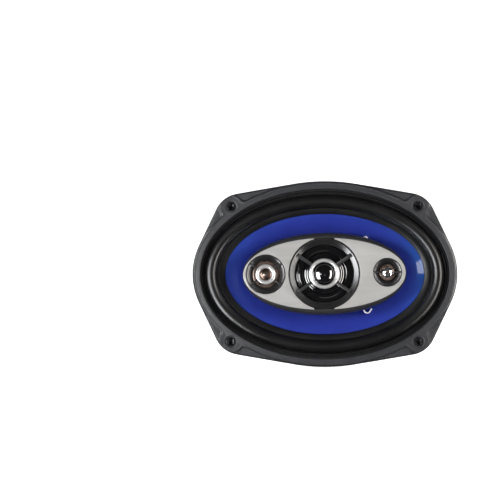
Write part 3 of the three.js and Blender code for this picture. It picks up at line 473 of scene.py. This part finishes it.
grained(grey_moulding, 60, tint=0.12)
fitted(trim, grey_moulding, "chassis", "trim_plastic", "trim_ring", smooth=40)

# ---- Screw bushes ----
# Black nylon bushes pushed into the four screw holes, each with a rounded square recess and a thin web at the
# bottom that the screw pierces. The holes are open; the bushes' black and their web fill them with painted
# shade.
# The black of these bushes is painted shade standing in the open screw holes.
hole_shade_nylon = grained(surface("black_nylon_hole_shade", (0.004, 0.004, 0.005), 0.16), 700, bump=0.00003, rough=0.05)
for number, (sx, sz) in enumerate([(1, 1), (-1, 1), (-1, -1), (1, -1)], 1):
    bush = drawn_ring(
        f"hole_shade_bush_{number}",
        [
            (0.01, 0.01, -0.3), (2.85, 2.85, -0.3), (2.85, 2.85, -4), (3.9, 3.9, -4), (4.1, 4.1, -4.2),
            (4.05, 4.05, -4.5), (3.8, 3.8, -4.75), (3.6, 3.6, -4.8), (0.01, 0.01, -4.8),
        ],
        48,
    )
    recess = prism("recess", [(-2.4, -2.4), (2.4, -2.4), (2.4, 2.4), (-2.4, 2.4)], -5.5, -4.15)
    shaped(bush, softened(recess, 0.7, 5))
    shaped(
        bush, drawn_ring("bore", [(0.01, 0.01, -5.5), (2.3, 2.3, -5.5), (2.3, 2.3, -1), (0.01, 0.01, -1)], 32),
    )
    select_only(softened(bush, 0.12, 2, 50))
    bush.data.transform(Matrix.Translation((sx * screw_x / 1000, 0, sz * screw_z / 1000)))
    fitted(bush, hole_shade_nylon, "chassis", "bush_nylon", f"screw_bush_{number}", smooth=30)

# ---- Surround ----
# Butyl rubber, moulded in one piece: a land glued to the basket's shelf, one half roll that bends as the cone
# moves, and a lip glued to the rim of the cone. It is fixed to the basket outside and to the cone inside.
roll = []
for i in range(33):
    angle = i / 32 * math.pi
    across = (1 - math.cos(angle)) / 2 * roll_width
    roll.append((
        roll_half_length - across, roll_half_height - across * 1.07, 1.5 - roll_height * math.sin(angle),
    ))
under = []
for i in range(25):
    angle = i / 24 * math.pi
    across = (1 - math.cos(angle)) / 2 * (roll_width - 2) + 1
    under.append((
        roll_half_length - across, roll_half_height - across * 1.07, 2.6 - roll_height * math.sin(angle),
    ))
rubber = drawn_ring(
    "rubber_surround",
    [
        (108.6, 73.6, 2.6), (108.6, 73.6, 1.3), (108.3, 73.3, 1.0), (107.7, 72.5, 0.95), (107.0, 71.4, 1.2),
        *roll,
        (94.8, 58.2, 1.6), (94.2, 57.6, 1.45), (92.4, 56.3, 1.6), (90.4, 54.9, 2.1), (89.2, 54.0, 2.5),
        (88.6, 53.6, 2.8), (88.5, 53.5, 3.1), (90, 54.8, 3.0), (92.6, 56.4, 2.6),
        *reversed(under),
    ],
    224,
)
butyl = grained(
    surface("butyl_rubber", (0.004, 0.004, 0.0045), 0.38, Specular_IOR_Level=0.42), 900, bump=0.00002,
    rough=0.06,
)
grained(butyl, 45, rough=0.05, tint=0.15)
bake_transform(rubber)


def bends_from(piece, oval):
    """Finds how far in from the oval each point lies, in millimetres, and keeps none of it."""
    for vertex in piece.data.vertices:
        low, high = -20.0, 60.0
        for _ in range(24):
            guess = (low + high) / 2
            k = math.hypot(vertex.co.x * 1000 / (oval[0] - guess), vertex.co.z * 1000 / (oval[1] - guess))
            low, high = (low, guess) if k > 1 else (guess, high)


bends_from(rubber, (roll_half_length, roll_half_height))
rubber.data.materials.append(butyl)
select_only(rubber)
bpy.ops.object.shade_smooth_by_angle(angle=math.radians(40))
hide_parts("surround")

# ---- Cone ----
# Glossy blue polypropylene, injection moulded, with an oval mouth that runs down to a round neck on the voice
# coil.
front_face, rear_face = [], []
for i in range(33):
    share = i / 32
    a, b = 19.8 + 72.3 * share, 19.8 + 37.3 * share
    y = 2.8 + 25 * (1 - share) ** 1.2
    front_face.append((a, b, y))
    rear_face.append((a, b, y + 0.9))
cone = drawn_ring("blue_cone", [*front_face, *reversed(rear_face)], 224)
blue_plastic = grained(
    surface(
        "glossy_blue_plastic", (0.020, 0.029, 0.235), 0.34, IOR=1.8, Specular_Tint=(0.02, 0.45, 1, 1),
        Coat_Weight=0.6, Coat_Roughness=0.05,
    ), 40, tint=0.08, rough=0.04
)
fitted(cone, blue_plastic, "cone_assembly", "cone_plastic", "cone", smooth=60)

# ---- Voice coil ----
# An aluminium foil former glued into the neck of the cone, with two layers of enamelled copper wire wound on
# its rear end.
former = drawn_ring("foil_former", [(19.5, 19.5, 26.3), (19.5, 19.5, 57.3), (19, 19, 57.3), (19, 19, 26.3)], 96)
foil = grained(surface("rolled_foil", (0.55, 0.56, 0.58), 0.28, 1.0), 300, rough=0.1, stretch=(1, 0.05, 1))
fitted(former, foil, "cone_assembly", "former_foil", "voice_coil_former")


def banded(made, pitch, depth, direction="Y", kind="BANDS"):
    """Adds even grooves of that pitch, such as turns of wire or a lathe's feed marks. Sizes in metres."""
    nodes, links = made.node_tree.nodes, made.node_tree.links
    place = nodes.new("ShaderNodeTexCoord")
    wave = nodes.new("ShaderNodeTexWave")
    wave.wave_type = kind
    if kind == "BANDS":
        wave.bands_direction = direction
    else:
        wave.rings_direction = direction
    wave.inputs["Scale"].default_value = 0.314 / pitch
    raised = nodes.new("ShaderNodeBump")
    raised.inputs["Distance"].default_value = depth
    links.new(place.outputs["Object"], wave.inputs["Vector"])
    links.new(wave.outputs["Fac"], raised.inputs["Height"])
    shader = nodes["Principled BSDF"]
    if shader.inputs["Normal"].is_linked:
        links.new(shader.inputs["Normal"].links[0].from_socket, raised.inputs["Normal"])
    links.new(raised.outputs["Normal"], shader.inputs["Normal"])
    return made


winding = drawn_ring(
    "copper_winding", [(20.4, 20.4, 43.8), (20.4, 20.4, 56.8), (19.6, 19.6, 56.8), (19.6, 19.6, 43.8)], 96,
)
copper = banded(surface("enamelled_copper", (0.42, 0.14, 0.05), 0.3, 1.0), 0.00035, 0.0001)
fitted(softened(winding, 0.2), copper, "cone_assembly", "copper_wire", "voice_coil_winding")

# ---- Spider ----
# Resin-dipped cotton, pressed into corrugations, that keeps the voice coil central. It is glued to the former
# and to the basket's rear shelf.
spider_face = [(19.8, 33.0), (22.5, 33.0)]
for i in range(61):
    spider_face.append((
        24.5 + 18.5 * i / 60, 33.0 - 1.45 * math.sin(i / 60 * 4 * 2 * math.pi) * min(1, i / 6, (60 - i) / 6),
    ))
spider_face += [(45.5, 33.0), (53, 33.0)]
cloth = drawn_ring(
    "cotton_spider",
    [*[(r, r, y) for r, y in spider_face], *[(r, r, y + 0.7) for r, y in reversed(spider_face)]], 144,
)
cotton = surface("dipped_cotton", (0.42, 0.25, 0.06), 0.85, Sheen_Weight=0.2)
banded(cotton, 0.0006, 0.00012, "X")
banded(cotton, 0.0006, 0.00012, "Z")
grained(cotton, 70, tint=0.15)
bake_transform(cloth)
bends_from(cloth, (53, 53))
cloth.data.materials.append(cotton)
select_only(cloth)
bpy.ops.object.shade_smooth_by_angle(angle=math.radians(50))
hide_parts("spider")

# ---- Magnet and its plates ----
# A ferrite ring between two turned and zinc-plated steel plates. The rear plate carries the pole that the voice
# coil moves over.
zinc = grained(surface("zinc_plate", (0.52, 0.51, 0.46), 0.3, 1.0), 90, tint=0.07, rough=0.1)
banded(zinc, 0.0009, 0.00002, "Y", "RINGS")
top_plate = drawn_ring(
    "turned_top_plate", [(46, 46, 47.5), (46, 46, 53), (21.2, 21.2, 53), (21.2, 21.2, 47.5)], 128,
)
fitted(softened(top_plate, 0.4), zinc, "chassis", "zinc_plate", "top_plate")
magnet = drawn_ring("ferrite_ring", [(50, 50, 53.3), (50, 50, 70.3), (27, 27, 70.3), (27, 27, 53.3)], 160)
ferrite = grained(surface("ferrite", (0.022, 0.022, 0.023), 0.6), 500, bump=0.00006, tint=0.25, rough=0.12)
fitted(softened(magnet, 1.0, 3), ferrite, "chassis", "ferrite", "magnet")
yoke = drawn_ring(
    "turned_yoke",
    [
        (5.1, 5.1, 47.5), (18.2, 18.2, 47.5), (18.2, 18.2, 70.6), (46, 46, 70.6), (46, 46, 76.1),
        (41, 41, 76.1), (40.5, 40.5, 75.8), (40, 40, 76.1), (5.1, 5.1, 76.1),
    ],
    128,
)
fitted(softened(yoke, 0.5), zinc, "chassis", "zinc_plate", "yoke")
for number in (1, 2, 3, 4):
    repainted(f"basket_rivet_{number}", zinc)

# ---- Centre bolt ----
# A hollow zinc-plated bolt clamps the pod, a tubular standoff and the yoke together, with a washer and nut at
# the rear. The pod's wires come out through it.
bolt = drawn_ring(
    "hollow_bolt",
    [(3, 3, 3.5), (8, 8, 3.5), (8, 8, 4.9), (4.8, 4.8, 4.9)]
    + [(4.8 - 0.35 * (i % 2), 4.8 - 0.35 * (i % 2), 76.2 + i * 0.5) for i in range(15)]
    + [(4.2, 4.2, 84.2), (3, 3, 84.2)],
    48,
)
fitted(bolt, zinc, "chassis", "zinc_plate", "centre_bolt")
standoff = drawn_ring("standoff_tube", [(8, 8, 7.5), (8, 8, 47.2), (5.1, 5.1, 47.2), (5.1, 5.1, 7.5)], 64)
fitted(softened(standoff, 0.3), zinc, "chassis", "zinc_plate", "standoff")
washer = drawn_ring("flat_washer", [(10, 10, 76.4), (10, 10, 77.4), (5.1, 5.1, 77.4), (5.1, 5.1, 76.4)], 64)
fitted(softened(washer, 0.2), zinc, "chassis", "zinc_plate", "lock_washer")
across_corners = 16 / math.sqrt(3)
nut = prism(
    "hexagon_nut",
    [
        (across_corners * math.cos(math.radians(60 * i)), across_corners * math.sin(math.radians(60 * i)))
        for i in range(6)
    ],
    77.7, 82.7,
)
chamfer = drawn_ring(
    "chamfer",
    [
        (0.01, 0.01, 77.6), (8.4, 8.4, 77.6), (9.3, 9.3, 78.3), (9.3, 9.3, 82.1), (8.4, 8.4, 82.8),
        (0.01, 0.01, 82.8),
    ],
    64,
)
shaped(nut, chamfer, "INTERSECT")
shaped(nut, drawn_ring("bore", [(0.01, 0.01, 77), (5.1, 5.1, 77), (5.1, 5.1, 84), (0.01, 0.01, 84)], 48))
fitted(nut, zinc, "chassis", "zinc_plate", "centre_nut", smooth=25)

# ---- Pod housing ----
# A satin black moulding, a shallow eye-shaped tray bolted over the cone. Its rim shows all round the silver
# face.
eye = 2.03
lean = math.radians(0.9)  # the pod is bolted on a little askew, its left end lower
housing = drawn_ring(
    "pod_tray",
    [
        (71.6, 32.3, -13.8), (71.9, 33.1, -13.5), (72.2, 34.3, -12.4), (72.4, 35.4, -10.4), (72.6, 36.2, -7.5),
        (72.7, 36.5, -4.2), (72.4, 36.2, -3),
        (70.2, 33.6, -1), (41.9, 26.6, 3.7), (20, 20, 7.2), (5.1, 5.1, 7.2), (5.1, 5.1, 5.2), (19, 19, 5.2),
        (40.5, 25.1, 1.7), (68.7, 32.1, -3), (70.8, 34.3, -4.4), (70.6, 33.6, -8), (70.2, 31.3, -13.6),
        (70.4, 31.2, -13.8),
    ],
    224,
    eye,
)
black_moulding = grained(
    surface("satin_black_moulding", (0.020, 0.020, 0.021), 0.4), 1800, bump=0.00003, rough=0.06,
)
grained(black_moulding, 50, tint=0.12)
housing.data.transform(Matrix.Rotation(-lean, 4, "Y"))
fitted(housing, black_moulding, "chassis", "pod_plastic", "pod_housing", smooth=35)

# ---- Silver wings ----
# Two silver-painted plates, left and right of the midrange, with a fine brushed grain and a bevel round every
# edge.
face = []
for i in range(240):
    angle = i / 240 * 2 * math.pi
    x, z = math.cos(angle), math.sin(angle)
    x = wing_half_length * math.copysign(abs(x) ** (2 / eye), x)
    z = wing_half_height * math.copysign(abs(z) ** (2 / eye), z)
    face.append((x * math.cos(lean) - z * math.sin(lean), x * math.sin(lean) + z * math.cos(lean) - 0.1))


def round_tool(x, z, radius, front=-17.0, back=-13.0, steps=96):
    bpy.ops.object.select_all(action="DESELECT")
    bpy.ops.mesh.primitive_cylinder_add(
        vertices=steps, radius=radius / 1000, depth=(back - front) / 1000, rotation=(math.pi / 2, 0, 0),
        location=(x / 1000, (front + back) / 2000, z / 1000),
    )
    return bpy.context.object


silver = grained(
    surface("silver_paint", (0.41, 0.408, 0.40), 0.36, 0.4), 260, bump=0.00002, tint=0.05, rough=0.05,
    stretch=(0.08, 1, 1),
)
grained(silver, 25, tint=0.05, rough=0.04)
for side, name, hole in ((-1, "left", (tweeter_x, tweeter_z, 17.5)), (1, "right", (super_x, super_z, 12.7))):
    wing = prism(f"silver_wing_{name}", face, -15.6, -14.1)
    shaped(wing, round_tool(0, 0, 31.6, steps=160))
    shaped(wing, round_tool(*hole))
    inner, outer = sorted((side * 9, -side * 80))
    shaped(wing, prism("divide", [(inner, -60), (outer, -60), (outer, 60), (inner, 60)], -18, -12))
    fitted(softened(wing, 0.45, 3, 50), silver, "chassis", "silver_paint", f"face_plate_{name}", smooth=30)

# ---- Midrange ----
# A bevelled black bezel, a gloss black ribbed cone with its dust cap, a four-legged guard that carries a silver
# ring, and a gloss black bullet in the ring. Behind the cone are its frame, coil and motor, closed in by the
# pod.


def at_axis(piece, x, z):
    """Moves a turned piece from the Y axis to its own axis. Millimetres."""
    select_only(piece)
    bpy.ops.object.mode_set(mode="EDIT")
    bpy.ops.mesh.select_all(action="SELECT")
    bpy.ops.transform.translate(value=(x / 1000, 0, z / 1000))
    bpy.ops.object.mode_set(mode="OBJECT")
    return piece


def round_stations(points):
    return [(r, r, y) for r, y in points]


def legs_of(name, tip, hub, width, thick_tip, angles, front=-16.5, back=-15.3):
    """The straight legs of a guard, each a little thicker where it laps over the bezel. Millimetres."""
    legs = []
    for angle in angles:
        half = width / 2
        outline = [
            (hub, -half), (tip - 3, -half), (tip - 2.2, -half * thick_tip), (tip, -half * thick_tip),
            (tip, half * thick_tip), (tip - 2.2, half * thick_tip), (tip - 3, half), (hub, half),
        ]
        c, s = math.cos(math.radians(angle)), math.sin(math.radians(angle))
        legs.append(
            softened(prism(name, [(x * c - z * s, x * s + z * c) for x, z in outline], front, back), 0.35, 2)
        )
    return legs


mid_bezel = drawn_ring(
    "midrange_bezel",
    round_stations([
        (30.9, -8.5), (30.9, -15.9), (30.7, -16.2), (30.1, -16.2), (29.8, -16.0), (26.7, -13.9), (26.3, -13.6),
        (26.2, -13.2), (26.5, -12.6), (26.5, -9.5), (25.5, -9.5), (25.5, -8.5),
    ]),
    160,
)
bezel_grey = grained(surface("satin_grey_bezel", (0.075, 0.075, 0.076), 0.33, 0.9), 1500, tint=0.1, rough=0.015)
fitted(mid_bezel, bezel_grey, "chassis", "pod_plastic", "mid_bezel", smooth=25)

ribs = [(8, -9.6), (9, -9.75)]
for i in range(49):
    r = 9 + 8.8 * i / 48
    ribs.append((r + 0.05, -9.75 - 0.105 * (r - 9) - 0.22 * math.sin((r - 9) / 8.8 * 5 * 2 * math.pi)))
ribs += [
    (18.2, -10.7), (18.7, -11.3), (19.4, -11.7), (20.4, -11.85), (21.6, -11.8), (22.8, -11.5), (24.0, -11.1),
    (25.2, -10.8),
]
mid_cone = drawn_ring(
    "ribbed_midrange_cone", round_stations(ribs + [(r, y + 0.6) for r, y in reversed(ribs)]), 128,
)
gloss_black = grained(
    surface("gloss_black", (0.003, 0.003, 0.0035), 0.08, IOR=1.6, Coat_Weight=0.5, Coat_Roughness=0.03), 120,
    rough=0.02,
)
fitted(mid_cone, gloss_black, "mid_diaphragm", "gloss_black", "mid_cone", smooth=60)
dust_cap = drawn_ring(
    "midrange_dust_cap",
    round_stations([(0.01, -10.3), (4, -10.1), (7.7, -9.4), (7.7, -9.2), (4, -9.8), (0.01, -10.0)]), 64,
)
fitted(dust_cap, gloss_black, "mid_diaphragm", "gloss_black", "mid_dust_cap", smooth=60)

guard_hub = drawn_ring(
    "midrange_guard", round_stations([(13.1, -16.5), (13.1, -15.3), (10, -15.3), (10, -16.5)]), 96,
)
mid_guard = joined(softened(guard_hub, 0.2), *legs_of("leg", 28.1, 12.5, 2.8, 1.25, (35, 145, 215, -35)))
fitted(mid_guard, black_moulding, "chassis", "pod_plastic", "mid_guard", smooth=30)
mid_ring = drawn_ring(
    "midrange_silver_ring",
    round_stations([
        (13.4, -16.8),
        *[
            (11.7 + 1.7 * math.cos(i / 12 * math.pi), -16.8 - 2.2 * math.sin(i / 12 * math.pi) ** 0.8)
            for i in range(1, 12)
        ],
        (10, -16.8),
    ]),
    128,
)
satin_silver = grained(surface("satin_silver", (0.52, 0.52, 0.52), 0.32, 0.6), 300, rough=0.04)
fitted(mid_ring, satin_silver, "chassis", "silver_paint", "mid_ring", smooth=40)
bullet = drawn_ring(
    "midrange_bullet",
    round_stations([
        (9.7, -12.8),
        *[
            (9.7 * math.cos(i / 20 * math.pi / 2), -14.5 - 6.2 * math.sin(i / 20 * math.pi / 2))
            for i in range(20)
        ],
        (0.01, -20.7), (0.01, -12.8),
    ]),
    96,
)
fitted(bullet, gloss_black, "chassis", "gloss_black", "mid_bullet", smooth=50)
for node, finish in (
    ("mid_frame", powder_coat), ("mid_motor", zinc), ("mid_voice_coil", copper), ("tweeter_motor", zinc),
):
    repainted(node, finish)

# ---- Tweeter ----
# On the left of the pod: a bevelled black cup, a bronze film dome with a broad skirt, and a four-legged guard
# with a silver ring.
cup = drawn_ring(
    "tweeter_cup",
    round_stations([
        (17.1, -8.6), (17.1, -15.9), (16.9, -16.2), (16.5, -16.2), (16.2, -16.0), (12.6, -13.3), (12.3, -13.0),
        (12.4, -12.7), (13.6, -12.3), (13.6, -9.6), (12.6, -9.6), (12.6, -8.6),
    ]),
    128,
)
fitted(at_axis(cup, tweeter_x, tweeter_z), bezel_grey, "chassis", "pod_plastic", "tweeter_bezel", smooth=25)
film = [(0.01, -13.8)] + [
    (4.4 * math.sin(i / 12 * math.pi / 2), -11.2 - 2.6 * math.cos(i / 12 * math.pi / 2))
    for i in range(1, 13)
]
film += [
    (5.0, -11.0), (5.8, -11.05), (10.4, -11.85), (10.9, -12.0), (11.4, -11.9), (11.9, -11.3), (12.2, -11.0),
]
dome = drawn_ring("bronze_dome", round_stations(film + [(r, y + 0.45) for r, y in reversed(film)]), 96)
bronze = grained(surface("bronze_film", (0.36, 0.27, 0.23), 0.3, 0.9), 200, tint=0.12, rough=0.05)
fitted(
    at_axis(dome, tweeter_x, tweeter_z), bronze, "tweeter_diaphragm", "bronze_film", "tweeter_dome", smooth=50,
)
hub = drawn_ring(
    "tweeter_guard_hub", round_stations([(8.7, -16.5), (8.7, -15.3), (5.7, -15.3), (5.7, -16.5)]), 72,
)
tweeter_guard = joined(softened(hub, 0.2), *legs_of("leg", 16.2, 8.2, 1.5, 1.5, (34, 146, 214, -34)))
fitted(
    at_axis(tweeter_guard, tweeter_x, tweeter_z), black_moulding, "chassis", "pod_plastic", "tweeter_guard",
    smooth=30,
)
tweeter_ring = drawn_ring(
    "tweeter_silver_ring",
    round_stations([
        (9, -16.8),
        *[
            (7.2 + 1.8 * math.cos(i / 12 * math.pi), -16.8 - 1.8 * math.sin(i / 12 * math.pi) ** 0.8)
            for i in range(1, 12)
        ],
        (5.4, -16.8),
    ]),
    96,
)
fitted(
    at_axis(tweeter_ring, tweeter_x, tweeter_z), satin_silver, "chassis", "silver_paint", "tweeter_ring",
    smooth=40,
)

# ---- Super tweeter ----
# On the right of the pod: a smaller cup, a bronze film cone driven by a piezo disc, and a bright bullet on a
# bridge of two legs, with a hole through its nose.
super_cup = drawn_ring(
    "super_tweeter_cup",
    round_stations([
        (12.3, -8.6), (12.3, -15.9), (12.1, -16.2), (11.8, -16.2), (11.5, -16.0), (8.3, -13.3), (8.0, -13.0),
        (8.1, -12.7), (8.8, -12.3), (8.8, -9.6), (7.8, -9.6), (7.8, -8.6),
    ]),
    112,
)
fitted(
    at_axis(super_cup, super_x, super_z), bezel_grey, "chassis", "pod_plastic", "super_tweeter_bezel",
    smooth=25,
)
horn = [(0.01, -10.2), (2, -10.35), (4.5, -11.1), (6.2, -11.7), (6.6, -11.8), (7.0, -11.6), (7.5, -11.2)]
super_cone = drawn_ring("bronze_cone", round_stations(horn + [(r, y + 0.45) for r, y in reversed(horn)]), 72)
fitted(
    at_axis(super_cone, super_x, super_z), bronze, "super_tweeter_diaphragm", "bronze_film",
    "super_tweeter_cone", smooth=50,
)
bridge_hub = drawn_ring(
    "super_tweeter_bridge", round_stations([(4.2, -16.5), (4.2, -15.3), (2, -15.3), (2, -16.5)]), 48,
)
bridge = joined(softened(bridge_hub, 0.2), *legs_of("leg", 11.5, 3.8, 1.4, 1.4, (0, 180)))
fitted(
    at_axis(bridge, super_x, super_z), black_moulding, "chassis", "pod_plastic", "super_tweeter_guard",
    smooth=30,
)
nose = drawn_ring(
    "bright_bullet",
    round_stations([
        (4.6, -16.8), (4.55, -17.4), (4.3, -18.0), (3.8, -18.5), (3.1, -18.85), (2.5, -18.98), (2.1, -18.95),
        (1.8, -18.7), (1.7, -18.2), (1.7, -16.8),
    ]),
    72,
)
bright = grained(surface("bright_plate", (0.78, 0.78, 0.79), 0.14, 1.0), 300, rough=0.05)
fitted(at_axis(nose, super_x, super_z), bright, "chassis", "bright_plate", "super_tweeter_bullet", smooth=50)
thin_brass = grained(surface("thin_brass", (0.55, 0.36, 0.12), 0.3, 1.0), 200, rough=0.08)
repainted("super_tweeter_element", thin_brass)

# ---- Terminal board ----
# A brown phenolic board riveted to a lug of the basket. It carries a wide and a narrow blade tab and the
# crossover's two capacitors, in plain blue sleeves.
board_finish = grained(
    surface("phenolic_paper", (0.13, 0.06, 0.022), 0.5), 160, tint=0.25, rough=0.1, stretch=(1, 4, 1),
)
tin = grained(surface("tin_plate", (0.68, 0.68, 0.66), 0.25, 1.0), 250, tint=0.05, rough=0.08)
for node, finish in (
    ("terminal_board", board_finish), ("positive_tab", tin), ("negative_tab", tin), ("terminal_rivet_1", tin),
    ("terminal_rivet_2", tin),
):
    repainted(node, finish)
sleeve = grained(surface("shrunk_sleeve", (0.012, 0.022, 0.12), 0.3), 150, bump=0.00003, tint=0.1, rough=0.06)
for node, z in (("capacitor_mid", -4.8), ("capacitor_tweeter", 4.8)):
    can = drawn_ring(
        node + "_can",
        round_stations([
            (0.01, 46), (3.9, 46), (4.4, 46.3), (4.5, 46.8), (4.5, 60.2), (4.3, 60.7), (4.1, 61.0), (4.3, 61.3),
            (4.5, 61.7), (4.5, 62.6), (4.2, 63.0), (3.6, 62.8), (0.01, 62.7),
        ]),
        56,
    )
    fitted(at_axis(can, 68.7, z), sleeve, "chassis", "capacitor_sleeve", node, smooth=40)

# ---- Leads ----
# Two silvery tinsel braids feed the voice coil: each leaves the board's side, runs behind the cone and comes
# out through it in a small loop beside the pod. The pod's red and black wires come out of the hollow bolt and
# run to the board.


def wire(name, route, radius, finish, resolution=8):
    """A round wire through a route of points in millimetres, made a mesh."""
    curve = bpy.data.curves.new(name, "CURVE")
    curve.dimensions = "3D"
    line = curve.splines.new("NURBS")
    line.points.add(len(route) - 1)
    for point, place in zip(line.points, route):
        point.co = (*[v / 1000 for v in place], 1)
    line.order_u, line.use_endpoint_u, line.resolution_u = 3, True, resolution
    curve.bevel_depth, curve.bevel_resolution, curve.use_fill_caps = radius / 1000, 4, True
    piece = bpy.data.objects.new(name, curve)
    bpy.context.collection.objects.link(piece)
    select_only(piece)
    bpy.ops.object.convert(target="MESH")
    piece = bpy.context.object
    bpy.ops.object.shade_smooth()
    piece.data.materials.clear()
    piece.data.materials.append(finish)
    return piece


braid = grained(surface("tinsel_braid", (0.8, 0.77, 0.82), 0.35, 0.3), 2500, bump=0.0002, tint=0.2)
cone_y = 2.8 + 25 * 0.44**1.2
for side, name in ((1, "upper"), (-1, "lower")):
    lead = wire(
        f"tinsel_braid_{name}",
        [
            (58.8, 29, side * 19), (54, 23, side * 22), (45, 25, side * 26), (40.5, 22, side * 31.6),
            (37.5, cone_y + 2.6, side * 31.6),
        ],
        0.7, braid, 12,
    )
    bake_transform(lead)
    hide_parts(f"tinsel_lead_{name}")
loop_y = cone_y - 2.6
loops = {
    "upper": [
        (34.2, loop_y + 0.4, 31.4), (35.2, loop_y - 0.6, 33.6), (37.6, loop_y - 0.6, 33.4), (39, loop_y, 30.4),
    ],
    "lower": [
        (34.8, loop_y + 0.4, -32), (36.2, loop_y - 0.6, -34.8), (40.4, loop_y - 0.6, -34.4),
        (41.8, loop_y - 0.4, -30.6),
    ],
}
for name, route in loops.items():
    loop = wire(f"braid_loop_{name}", route, 0.65, braid, 12)
    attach(loop, "cone_assembly")
    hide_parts(f"tinsel_loop_{name}")
for side, name, slot, colour in (
    (1, "red", "red_insulation", (0.45, 0.012, 0.01)), (-1, "black", "black_insulation", (0.01, 0.01, 0.01)),
):
    z = side * 1.25
    route = [
        (side * 0.9, 76.2, z), (side * 0.9, 81.2, z), (side * 0.9, 85.6, z), (4, 87.4, z), (9.5, 85.8, z),
        (13.4, 78.7, z), (18, 77.6, z),
        (43, 77.6, z), (49.5, 77.0, z), (52.4, 67.6, z), (52.6, 57.3, z), (58, 52, z), (58.2, 48, z),
    ]
    insulation = grained(surface(f"{name}_insulation", colour, 0.38), 400, tint=0.06, rough=0.05)
    pod_wire = wire(f"pod_wire_{name}", route, 0.9, insulation, 12)
    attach(pod_wire, "chassis")
    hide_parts(f"pod_lead_{name}")
